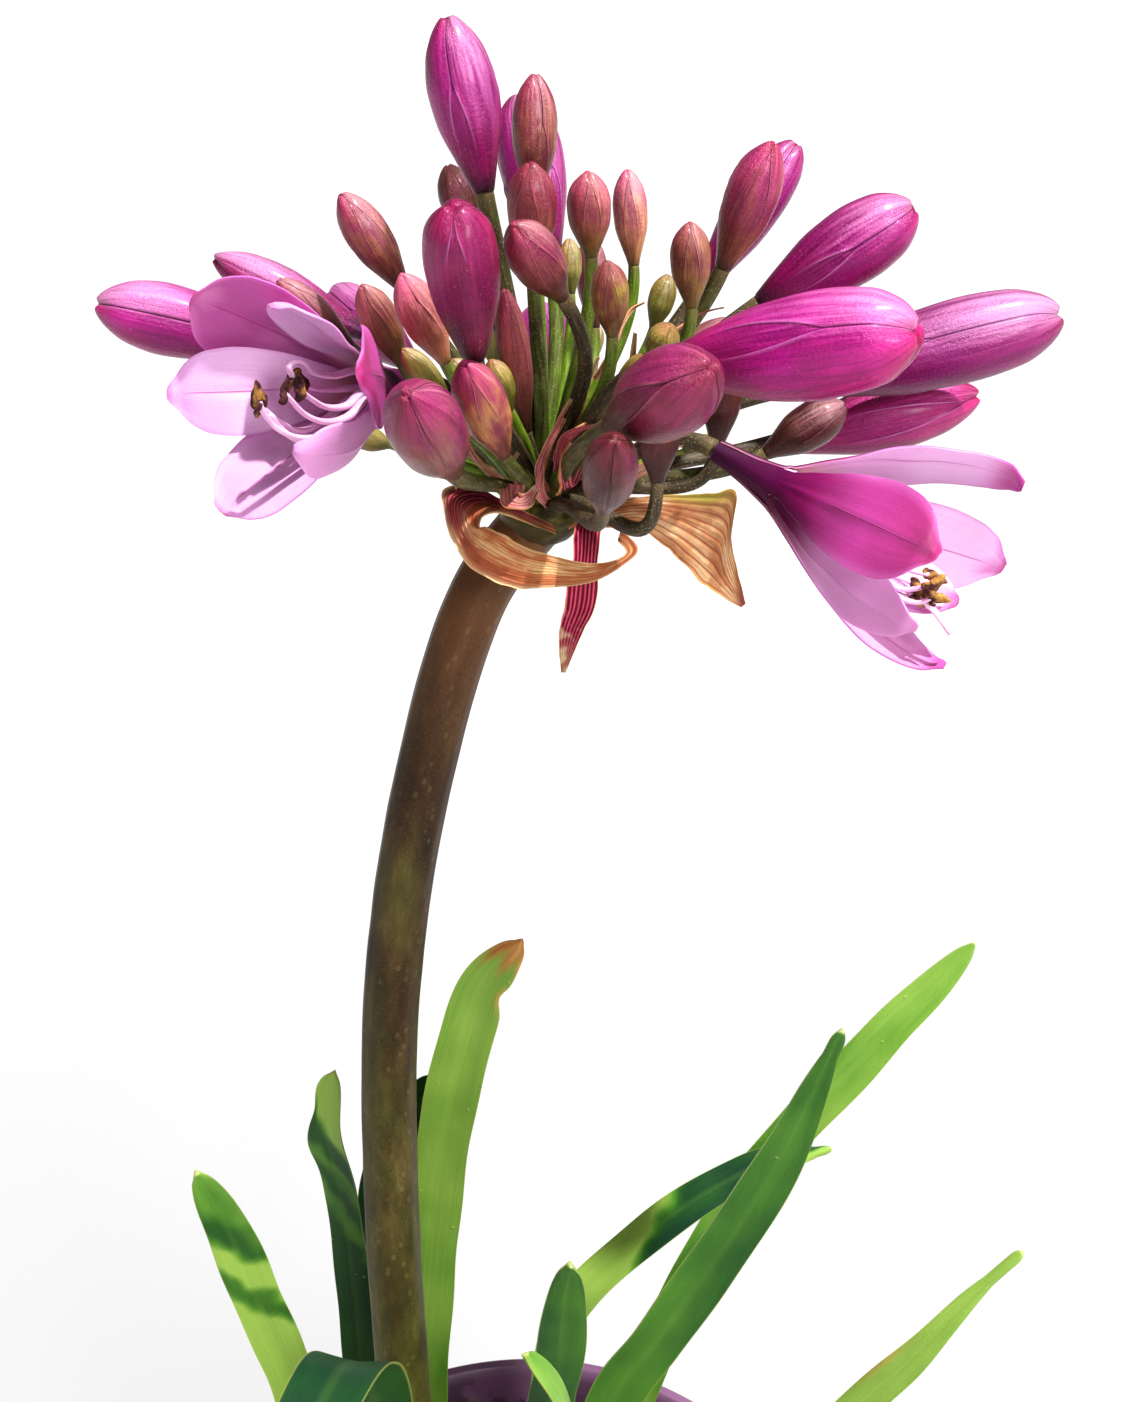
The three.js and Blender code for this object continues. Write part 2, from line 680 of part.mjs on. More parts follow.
function scape() {
  const stalks = [...BUDS, ...GREEN_BUDS].map(readBud).map(stalkSolid);
  const flowerStalks = FLOWERS.map((flower) => {
    const radiusAt = (share) => PEDICEL_RADIUS + (TUBE_FOOT_RADIUS - PEDICEL_RADIUS) * share ** 4;
    const { foot, axis } = flowerPlace(flower);
    return tube(stalkCurve(foot, axis, flower.swing), radiusAt, PEDICEL_SIDES, PEDICEL_STEPS);
  });
  const greenBuds = GREEN_BUDS.map(readBud).map((bud) => budSolid(bud, -GREEN_BUD_SEAT, GREEN_BUD_SIDES));
  const stem = tube(scapeCurve(), scapeRadius, SCAPE_SIDES, SCAPE_STEPS);
  const bracteoles = BRACTEOLES.map(bracteoleSolid);
  const whole = fused([stem, headGeometry(), ...stalks, ...flowerStalks, ...greenBuds, ...bracteoles]);
  return meshOf('scape', geometryOf(whole), COLOURS.scape, 0.5);
}

// ---------------------------------------------------------------- open flowers

function flowerPlace({ stalk: [bearing, rise, length], axis }) {
  const foot = moved(HUB, direction(bearing, rise), length);
  const along = direction(...axis);
  const up = squareTo(along, vector(0, 0, 1));
  return { foot, axis: along, up, side: along.clone().cross(up) };
}

function spokeAt(place, angle) {
  const turn = THREE.MathUtils.degToRad(angle);
  return place.up.clone().multiplyScalar(Math.cos(turn)).addScaledVector(place.side, Math.sin(turn));
}

function flowerTube(place) {
  const ringAt = (distance, radius) => {
    const ring = [];
    for (let i = 0; i < TUBE_SIDES; i += 1) {
      const centre = moved(place.foot, place.axis, distance);
      ring.push(moved(centre, spokeAt(place, (360 * i) / TUBE_SIDES), radius));
    }
    return ring;
  };
  return loft([
    ringAt(GAP, TUBE_FOOT_RADIUS),
    ringAt(0.35 * TUBE_LENGTH, 1.35 * TUBE_FOOT_RADIUS),
    ringAt(0.75 * TUBE_LENGTH, 0.8 * TUBE_THROAT_RADIUS),
    ringAt(TUBE_LENGTH, TUBE_THROAT_RADIUS),
    ringAt(0.5 * TUBE_LENGTH, 0.6),
  ]);
}

// A tepal leaves the throat at one lean and bends out to another towards its tip.
function tepal(place, [angle, length, width, throatLean, tipLean], ring) {
  const spoke = spokeAt(place, angle);
  const across = place.axis.clone().cross(spoke);
  const root = moved(place.foot, place.axis, TUBE_LENGTH - 2.5);
  let centre = moved(root, spoke, TEPAL_RING_RADII[ring]);
  const stations = [];
  for (let step = 0; step <= TEPAL_STEPS; step += 1) {
    const share = step / TEPAL_STEPS;
    const lean = THREE.MathUtils.degToRad(throatLean + (tipLean - throatLean) * share ** 1.6);
    const along = place.axis.clone().multiplyScalar(Math.cos(lean)).addScaledVector(spoke, Math.sin(lean));
    const up = squareTo(along, spoke).negate();
    stations.push({
      centre: centre.clone(),
      across,
      up,
      width: width * lookUp(TEPAL_OUTLINE, share),
      rise: lookUp(TEPAL_CUP, share),
      thick: TEPAL_THICKNESS,
      thin: TEPAL_THICKNESS - 0.1,
    });
    centre = moved(centre, along, length / TEPAL_STEPS);
  }
  return blade(stations, TEPAL_COLUMNS);
}

// A filament runs from inside the tube to its anther, and droops past the throat.
function stamen(place, angle, droop, reach) {
  const spoke = spokeAt(place, angle);
  const distances = [0.55 * TUBE_LENGTH, TUBE_LENGTH, TUBE_LENGTH + 0.6 * reach, TUBE_LENGTH + reach];
  const drops = [0, 0, 0.3 * droop, 0.25 * droop];
  const points = distances.map((distance, i) => {
    const level = moved(moved(place.foot, place.axis, distance), spoke, FILAMENT_RING_RADII[i]);
    return moved(level, place.up, drops[i]);
  });
  const curve = new THREE.CatmullRomCurve3(points);
  return { filament: tube(curve, () => FILAMENT_RADIUS, 3, 4), tip: points[3], across: spoke };
}

function anther({ tip, across }) {
  const curve = new THREE.LineCurve3(
    moved(tip, across, -ANTHER_LENGTH / 2),
    moved(tip, across, ANTHER_LENGTH / 2),
  );
  const [endRadius, middleRadius] = ANTHER_RADII;
  const radiusAt = (share) => endRadius + (middleRadius - endRadius) * 4 * share * (1 - share);
  return tube(curve, radiusAt, 3, 2);
}

function flower(shape) {
  const place = flowerPlace(shape);
  const tepals = shape.tepals.map((row, i) => tepal(place, row, i % 2));
  const stamens = [0, 60, 120, 180, 240, 300].map((angle, i) => {
    return stamen(place, angle, shape.stamenDroop, shape.stamenReach + (i % 3) * 2);
  });
  const filaments = stamens.map(({ filament }) => filament);
  const whole = fused([flowerTube(place), ...tepals, ...filaments, ...stamens.map(anther)]);
  return meshOf(shape.name, geometryOf(whole), COLOURS.flower, 0.45);
}

// ---------------------------------------------------------------- bracts

function bract(name, rows) {
  const left = new THREE.CatmullRomCurve3(rows.map(([edge]) => fromHub(edge)));
  const right = new THREE.CatmullRomCurve3(rows.map(([, edge]) => fromHub(edge)));
  const steps = rows.length - 1;
  const top = [];
  const bottom = [];
  for (let step = 0; step <= steps; step += 1) {
    const share = step / steps;
    const a = left.getPoint(share);
    const b = right.getPoint(share);
    const along = left.getTangent(share).add(right.getTangent(share)).normalize();
    const up = along.cross(b.clone().sub(a)).normalize();
    const topRow = [];
    const bottomRow = [];
    for (let column = 0; column <= BRACT_COLUMNS; column += 1) {
      const middle = a.clone().lerp(b, column / BRACT_COLUMNS);
      topRow.push(moved(middle, up, BRACT_THICKNESS / 2));
      bottomRow.push(moved(middle, up, -BRACT_THICKNESS / 2));
    }
    top.push(topRow);
    bottom.push(bottomRow);
  }
  return meshOf(name, sheet(top, bottom), COLOURS.bract, 0.7);
}

// ---------------------------------------------------------------- leaves

// Width of a strap leaf along its length, as a share of its full width. Past the taper's start its
// outline is a quarter of an ellipse if `point` is a half, and sharper if `point` is larger.
function leafWidthShare(share, taper, point) {
  const base = 0.82 + 0.18 * Math.min(1, share / 0.4);
  const past = Math.max(0, (share - taper) / (1 - taper));
  return base * Math.max(LEAF_TIP_SHARE, Math.max(0, 1 - past ** 2) ** point);
}

function leafStations({ points, width, taper, point = 0.5, facing }) {
  const route = points.map(([x, y, z]) => vector(x, y, z));
  const root = moved(route[0], vector(0, 0, 1), -ROOTED_DEPTH);
  const curve = new THREE.CatmullRomCurve3(route);
  const [rootFacing, tipFacing] = facing.map(([x, y, z]) => vector(x, y, z));
  const stations = [];
  const addStation = (centre, along, share) => {
    const up = squareTo(along, rootFacing.clone().lerp(tipFacing, share));
    const fullness = leafWidthShare(share, taper, point);
    stations.push({
      centre,
      across: along.clone().cross(up),
      up,
      width: width * fullness,
      rise: LEAF_CHANNEL * width * fullness,
      thick: LEAF_THICKNESS - 0.9 * share,
      thin: LEAF_EDGE_THICKNESS - 0.2 * share,
    });
  };
  addStation(root, vector(0, 0, 1), 0);
  addStation(moved(route[0], vector(0, 0, 1), NECK_HEIGHT), vector(0, 0, 1), 0);
  for (let step = 1; step <= LEAF_STEPS; step += 1) {
    const share = step / LEAF_STEPS;
    const eased = 1 - (1 - share) ** 1.35;
    addStation(curve.getPointAt(eased), curve.getTangentAt(eased), eased);
  }
  return stations;
}

function leaf(shape) {
  return meshOf(shape.name, blade(leafStations(shape), 2), COLOURS.leaf, 0.4);
}

// Hole that a leaf's root stands in.
function leafSlot(shape) {
  const [root, neck] = leafStations(shape);
  const floor = { ...root, centre: moved(root.centre, vector(0, 0, 1), -GAP) };
  return solidOf(blade([floor, neck], 2, GAP));
}

// ---------------------------------------------------------------- soil

function potInnerRadius(height) {
  const slope = (POT_BODY_TOP_RADIUS - POT_FOOT_RADIUS) / (POT_HEIGHT - POT_BAND_HEIGHT);
  return POT_FOOT_RADIUS - POT_WALL + slope * height;
}

function level(radius, height) {
  const ring = [];
  for (let i = 0; i < POT_SIDES; i += 1) {
    const angle = (2 * Math.PI * i) / POT_SIDES;
    ring.push(vector(radius * Math.cos(angle), radius * Math.sin(angle), height));
  }
  return ring;
}

// Ring of the soil's top, raised and lowered into lumps.
function lumpyLevel(radius, height) {
  return level(radius, height).map((point) => {
    const wave = Math.sin(0.31 * point.x + 1.3) * Math.cos(0.27 * point.y + 0.4);
    const ripple = Math.sin(0.63 * point.x - 0.8 * point.y);
    return vector(point.x, point.y, height + SOIL_RELIEF * (0.6 * wave + 0.4 * ripple));
  });
}

function scapeHole() {
  const curve = scapeCurve();
  const radius = SCAPE_FOOT_RADIUS + GAP + 0.1;
  const root = curve.getPoint(0);
  const rings = [-GAP, ROOTED_DEPTH + NECK_HEIGHT].map((lift) => {
    const ring = [];
    for (let i = 0; i < SCAPE_SIDES; i += 1) {
      const angle = (2 * Math.PI * i) / SCAPE_SIDES;
      ring.push(vector(root.x + radius * Math.cos(angle), root.y + radius * Math.sin(angle), root.z + lift));
    }
    return ring;
  });
  return solidOf(loft(rings));
}

function soil() {
  const shoulder = SOIL_TOP - SOIL_SHOULDER;
  const edge = potInnerRadius(shoulder) - GAP;
  const body = solidOf(
    loft([
      level(potInnerRadius(POT_BASE) - GAP, POT_BASE + GAP),
      level(edge, shoulder),
      lumpyLevel(edge - 1, SOIL_TOP),
      lumpyLevel(0.66 * edge, SOIL_TOP),
      lumpyLevel(0.33 * edge, SOIL_TOP),
    ]),
  );
  const holes = [scapeHole(), ...LEAVES.map(leafSlot)];
  const whole = holes.reduce((rest, hole) => rest.subtract(hole), body);
  return meshOf('soil', geometryOf(whole), COLOURS.soil, 0.95);
}

// ---------------------------------------------------------------- pot

function pot() {
  const bandBottom = POT_HEIGHT - POT_BAND_HEIGHT;
  const bandInner = POT_RIM_RADIUS - POT_BAND_WALL;
  const profile = [
    [0, 0],
    [POT_FOOT_RADIUS - 1.5, 0],
    [POT_FOOT_RADIUS, 1.5],
    [POT_BODY_TOP_RADIUS, bandBottom - 2],
    [POT_RIM_RADIUS - 2.2, bandBottom],
    [POT_RIM_RADIUS - 1, POT_HEIGHT - 3],
    [POT_RIM_RADIUS, POT_HEIGHT - 1.5],
    [POT_RIM_RADIUS - 0.8, POT_HEIGHT],
    [bandInner, POT_HEIGHT],
    [bandInner - 1, POT_HEIGHT - 3],
    [potInnerRadius(bandBottom), bandBottom],
    [potInnerRadius(POT_BASE), POT_BASE],
    [0, POT_BASE],
  ];
  const shell = new THREE.LatheGeometry(profile.map(([x, y]) => new THREE.Vector2(x, y)), POT_SIDES);
  shell.deleteAttribute('normal');
  shell.deleteAttribute('uv');
  shell.rotateX(Math.PI / 2);
  shell.rotateZ(Math.PI / 2);
  let whole = solidOf(mergeVertices(shell, 1e-3));
  for (let i = 0; i < DRAIN_HOLES; i += 1) {
    const angle = (2 * Math.PI * (i + 0.5)) / DRAIN_HOLES;
    const drill = new THREE.CylinderGeometry(DRAIN_RADIUS, DRAIN_RADIUS, 4 * POT_BASE, DRAIN_SIDES);
    drill.deleteAttribute('normal');
    drill.deleteAttribute('uv');
    drill.rotateX(Math.PI / 2);
    drill.translate(DRAIN_CIRCLE_RADIUS * Math.cos(angle), DRAIN_CIRCLE_RADIUS * Math.sin(angle), 0);
    whole = whole.subtract(solidOf(mergeVertices(drill, 1e-3)));
  }
  return meshOf('pot', geometryOf(whole), COLOURS.pot, 0.45);
}

// ---------------------------------------------------------------- assembly

const group = new THREE.Group();
group.add(pot(), soil(), scape());
for (const [name, rows] of Object.entries(BRACTS)) {
  group.add(bract(name, rows));
}
for (const shape of FLOWERS) {
  group.add(flower(shape));
}
for (const shape of LEAVES) {
  group.add(leaf(shape));
}
for (const bud of BUDS.map(readBud)) {
  group.add(meshOf(`bud_${bud.name}`, budSolid(bud, GAP), COLOURS[bud.tone], 0.35));
}

export default group;
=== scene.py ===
"""Looks of the potted agapanthus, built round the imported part.

Shapes are worked out in millimetres in the part's own frame, and put into the meshes in metres.
The rows of leaves, bracts, flowers and stalks repeat the part's own dimensions.
"""

import math

import bpy
import numpy as np
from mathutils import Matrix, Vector, noise


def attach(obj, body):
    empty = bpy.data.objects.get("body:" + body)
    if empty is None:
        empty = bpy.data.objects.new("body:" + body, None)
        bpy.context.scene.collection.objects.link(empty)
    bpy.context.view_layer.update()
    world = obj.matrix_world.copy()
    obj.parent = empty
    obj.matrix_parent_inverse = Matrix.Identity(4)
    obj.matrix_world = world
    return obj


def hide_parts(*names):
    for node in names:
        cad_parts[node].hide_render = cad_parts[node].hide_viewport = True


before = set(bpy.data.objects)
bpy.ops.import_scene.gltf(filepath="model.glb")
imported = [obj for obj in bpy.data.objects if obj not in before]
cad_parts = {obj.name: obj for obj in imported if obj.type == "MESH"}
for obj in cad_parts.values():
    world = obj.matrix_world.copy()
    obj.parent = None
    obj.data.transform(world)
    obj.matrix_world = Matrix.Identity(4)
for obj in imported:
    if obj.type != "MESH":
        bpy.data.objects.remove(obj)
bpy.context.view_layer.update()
MM = 0.001

# How finely pieces are drawn: rows along them, and points across or round them. A bud has its
# number of sectors between two seams.
SCAPE_GRID = (190, 56)
HEAD_GRID = (50, 72)
STALK_GRID = (44, 20)
RIBBON_GRID = (46, 12)
LEAF_GRID = (110, 20)
BUD_ROWS, BUD_SECTORS = 54, 30
GREEN_BUD_ROWS, GREEN_BUD_SECTORS = 36, 16
TUBE_ROWS = 24
LINING_ROWS, LINING_SIDES = 20, 36
TEPAL_ROWS, TEPAL_COLUMNS = 60, 29
THREAD_ROWS, THREAD_SIDES = 48, 14
ANTHER_ROWS, ANTHER_SIDES = 30, 18
BRACT_STEPS, BRACT_COLUMNS = 20, 26
SOIL_RINGS, SOIL_SIDES = 70, 220
SOIL_GRAINS = 760
POT_SIDES = 168


# ---------------------------------------------------------------- the plant's dimensions

# Gap between pieces that sit in or on one another.
GAP = 0.3

HUB = np.array([5.0, 15.0, 391.0])
HEAD_RADIUS = 7.4
HEAD_FLATNESS = 0.8

POT_HEIGHT = 130.0
POT_FOOT_RADIUS = 50.0
POT_BODY_TOP_RADIUS = 67.0
POT_RIM_RADIUS = 72.0
POT_BAND_HEIGHT = 17.0
POT_WALL = 2.2
POT_BAND_WALL = 3.4
POT_BASE = 3.0
DRAIN_HOLES = 6
DRAIN_RADIUS = 5.0
DRAIN_CIRCLE_RADIUS = 36.0

SOIL_TOP = 118.0
SOIL_SHOULDER = 6.0
ROOTED_DEPTH = 18.0
NECK_HEIGHT = 4.0

SCAPE_FOOT_RADIUS = 6.5
SCAPE_TOP_RADIUS = 5.3
SCAPE_ROUTE = [
    (-27, 8, SOIL_TOP - ROOTED_DEPTH),
    (-27, 8, SOIL_TOP + NECK_HEIGHT),
    (-26.4, 8, 185),
    (-26.7, 8, 243),
    (-24.6, 8.6, 293),
    (-17.7, 10.2, 337),
    (-5.7, 12.6, 377),
    (5, 15, 391),
]

PEDICEL_RADIUS = 1.4
PEDICEL_LIFT = (0.3, 0, 1)
PEDICEL_LIFT_SHARE = 0.35
BUD_START = -0.5

# Radius of a stalk at its tip, as a share of its bud's radius.
FOOT_SHARE = 0.32
RIPE_FOOT_SHARE = 0.3

# The camera's place, which the seams of buds are turned to; the way towards the sun, from which the far
# side of a bud is given painted shade; and the way that the painted highlight on a bud faces.
FRONT = np.array([8.4, -262.6, 490.0])
SUNWARD = np.array([0.35, -0.3, 0.89])
PAINTED_HIGHLIGHT_WAY = np.array([0.3, -0.55, 0.78])

# Radius of a bud along its length, as a share of its largest radius.
CLUB = [(0, 0.3), (0.07, 0.42), (0.2, 0.62), (0.45, 0.92), (0.66, 1), (0.82, 0.92), (0.92, 0.68),
        (0.97, 0.42), (1, 0.12)]
POINTED = [(0, 0.3), (0.2, 0.62), (0.43, 0.94), (0.6, 1), (0.77, 0.86), (0.886, 0.6), (0.945, 0.4),
           (0.985, 0.2), (1, 0.06)]
EGG = [(0, 0.32), (0.08, 0.42), (0.18, 0.6), (0.42, 0.95), (0.62, 1), (0.77, 0.88), (0.89, 0.6),
       (0.96, 0.33), (1, 0.08)]

# Buds by ripeness.
RIPE = ["crown", "left_magenta", "behind_top_pink", "far_left", "left_upper", "right_top_back",
        "right_upper", "fore_giant", "right_giant", "right_dark", "back_ripe", "back_ripe_left"]
HALF = ["top_brown", "top_front_brown", "s_stalk", "left_high", "mid_cone", "front_left_ball",
        "front_left_orange", "left_upper_front", "right_top", "mid_pink", "pink_back", "right_brown",
        "front_violet", "back_half_right", "back_half_low"]
YOUNG = ["left_brown", "left_pink", "right_small", "mid_small", "mid_green"]
DUSK = ["dark_back", "brown_under", "front_ball", "cone_hidden"]

# How far a bud's stalk swings out behind the bud, where it isn't the usual share.
USUAL_SWING = 0.3
SWING = {"s_stalk": 0.5, "brown_under": 0.4, "front_ball": 0.4, "cone_hidden": 0.5}

# The seam of a bud parts, on its way down from the tip, round a strip of an inner petal: how far the
# seam is turned from the front of the plant, the share of the length at which it parts, and half
# the angle that the strip takes. Then how magenta, how golden and how pointed the bud is, where 1
# is fully so.
USUAL_SEAM = {
    "ripe": (0, 0.58, 20, 1.0, 0.0, 0.3),
    "half": (6, 0.97, 26, 0.15, 0.5, 0.0),
    "young": (4, 0.97, 30, 0.1, 0.6, 0.0),
    "dusk": (0, 0.97, 30, 0.0, 0.1, 0.0),
}
SEAM = {
    "crown": (-17, 0.62, 18, 0.9, 0.15, 0.9),
    "left_magenta": (-8, 0.95, 30, 0.3, 0.35, 0.1),
    "behind_top_pink": (40, 0.5, 20, 1.0, 0.0, 0.3),
    "left_upper": (-30, 0.6, 20, 0.6, 0.1, 0.9),
    "right_upper": (5, 0.6, 17, 0.85, 0.0, 0.4),
    "right_giant": (-14, 0.5, 14, 0.95, 0.1, 0.2),
    "fore_giant": (-19, 0.7, 22, 1.0, 0.0, 0.1),
    "right_dark": (10, 0.9, 28, 0.55, 0.2, 0.8),
    "far_left": (4, 0.3, 12, 1.0, 0.0, 0.7),
    "right_top": (8, 0.97, 40, 0.5, 0.5, 0.0),
    "top_brown": (22, 0.6, 22, 0.25, 0.8, 0.3),
    "top_front_brown": (-14, 0.97, 34, 0.12, 0.35, 0.0),
    "s_stalk": (10, 0.97, 30, 0.25, 0.5, 0.0),
    "mid_cone": (20, 0.97, 30, 0.08, 0.4, 0.0),
    "mid_small": (8, 0.97, 26, 0.3, 0.3, 0.0),
    "mid_pink": (0, 0.9, 24, 0.4, 0.6, 0.0),
    "mid_green": (6, 0.97, 24, 0.0, 1.3, 0.0),
    "right_small": (4, 0.97, 24, 0.1, 0.7, 0.0),
    "front_left_ball": (-8, 0.97, 4, 0.75, 0.85, 0.0),
    "front_left_orange": (2, 0.97, 24, 0.3, 1.25, 0.2),
    "front_violet": (-16, 0.8, 24, 0.55, 0.1, 0.2),
    "front_ball": (4, 0.97, 4, 0.1, 0.1, 0.0),
    "left_pink": (6, 0.8, 26, 0.1, 0.15, 0.0),
    "left_brown": (-8, 0.9, 28, 0.0, 0.3, 0.0),
    "left_high": (14, 0.97, 30, 0.35, 0.9, 0.5),
    "left_upper_front": (30, 0.8, 26, 0.2, 0.1, 0.5),
}

# Buds whose seam shows only near the tip: how much sooner than usual it fades.
SHORT_SEAM = {"front_left_ball": 2.4, "front_ball": 2.4, "left_magenta": 3.0}

# Buds with hardly any painted highlight on their skin.
NO_PAINTED_HIGHLIGHT = ["right_dark", "left_magenta"] + DUSK
FAINT_PAINTED_HIGHLIGHT = 0.82

# How light a bud's skin is beside its kind. This is partly the bud's own tone and partly painted light and
# shade: buds in the shade of others are painted darker, sunlit ones lighter.
OWN_TONE_AND_PAINTED_LIGHT = {"right_brown": 0.36, "front_violet": 0.74, "left_magenta": 0.9, "fore_giant": 1.4,
             "right_giant": 0.66, "right_dark": 1.25, "mid_pink": 1.3, "right_top": 1.35, "mid_small": 1.4,
             "left_brown": 1.4, "left_pink": 1.9, "left_high": 1.15, "far_left": 1.2,
             "front_left_ball": 0.8}

# The smallest green buds: stalk bearing, rise and length, bud bearing, rise and length, width.
GREEN_BUDS = [
    (-123, 45, 37, -140, 49, 12, 4.1),
    (-155, 64, 22, -144, 53, 11, 5.2),
    (-111, 58, 26, -124, 62, 10, 4.7),
    (72, 64, 38, 100, 77, 9, 4.1),
    (32, 52, 37, 41, 69, 9, 4.6),
    (-30, 55, 36, -46, 55, 7, 5.2),
    (-36, 57, 28, -33, 53, 9, 3.4),
    (75, 30, 36, 74, 40, 9, 4.4),
    (108, 34, 34, 112, 46, 9, 4.4),
    (40, 6, 34, 36, 2, 9, 4.6),
    (142, 8, 36, 146, 4, 9, 4.6),
]

# Dried ribbons between the bud stalks: points from the hub, width, and redness.
BRACTEOLES = [
    ([(0.5, -9, 6.5), (0, -13, 11.5), (1, -15, 15.5), (2.5, -15, 18.5), (3.5, -14, 21),
      (5, -13, 23.5)], 2.0, 0.75),
    ([(3, -9, 10.5), (3, -15, 15.5), (4, -17, 18.5), (7, -17, 20), (12, -16, 20.5)], 1.6, 1.0),
    ([(3.5, -8, 10.5), (4, -14, 17), (6.5, -15, 19.5), (11, -14, 21.5)], 2.2, 0.95),
    ([(4, -10, 7.5), (3.5, -17, 13), (4, -18, 15.5), (5, -17, 17.5)], 3.4, 1.0),
    ([(4, -2, 3), (8, -4, 14), (9.5, -8, 21), (10.5, -9, 25), (12, -9, 30)], 2.2, 0.95),
    ([(3, -2, 4), (5, -5, 14), (6.5, -9, 20.5), (7.5, -10, 24), (8.5, -10, 27),
      (9.5, -10, 29.5)], 2.0, 0.1),
    ([(-5, -14, 9.5), (-4.5, -17.5, 8), (-2.5, -18.5, 8), (-0.5, -16, 9.5)], 4.6, 0.65),
    ([(-11, -21, 21), (-11.5, -22, 19), (-12, -22, 17), (-13, -20, 13.5), (-13.5, -17, 10)], 0.9, 0.2),
    ([(-3, -10, 8), (-5, -15, 12.5), (-4.5, -17, 14.5), (-3.5, -17, 16)], 1.3, 0.5),
    ([(9, -3, 24), (12, -3, 29.5), (13, -2, 32.5), (15, 0, 35), (17, 0, 36)], 1.0, 0.45),
    ([(16, 0, 24), (19, 0, 29), (23, 0, 32), (25, 0, 33.5), (27.5, 0, 34.5), (30, 0, 35)], 0.9, 0.6),
    ([(10, -5, 6), (16.5, -8, 10), (21, -10, 14), (23.5, -10, 15.5), (27, -8, 14)], 2.8, 0.35),
    ([(2, -4, 2), (0, -12, 8), (1, -13, 14), (4, -12, 20)], 2.2, 0.75),
    ([(-6, -3, 6), (-11, -6, 12), (-13, -8, 19), (-14, -8, 26)], 1.5, 0.3),
    ([(-2, 6, 6), (-6, 12, 14), (-7, 14, 22), (-5, 15, 30)], 2.2, 0.4),
    ([(6, 6, 5), (12, 11, 12), (15, 13, 20), (16, 12, 28)], 2.0, 0.7),
]

TUBE_LENGTH = 15.0
TUBE_FOOT_RADIUS = 1.7
TUBE_THROAT_RADIUS = 4.6
TEPAL_RING_RADII = (3.2, 4.0)
TEPAL_OUTLINE = [(0, 0.3), (0.2, 0.56), (0.42, 0.86), (0.65, 1), (0.78, 0.94), (0.87, 0.77), (0.92, 0.58),
                 (0.965, 0.32), (0.985, 0.22), (1, 0.12)]
TEPAL_CUP = [(0, 0.4), (0.25, 1.2), (0.6, 1), (1, 0.2)]
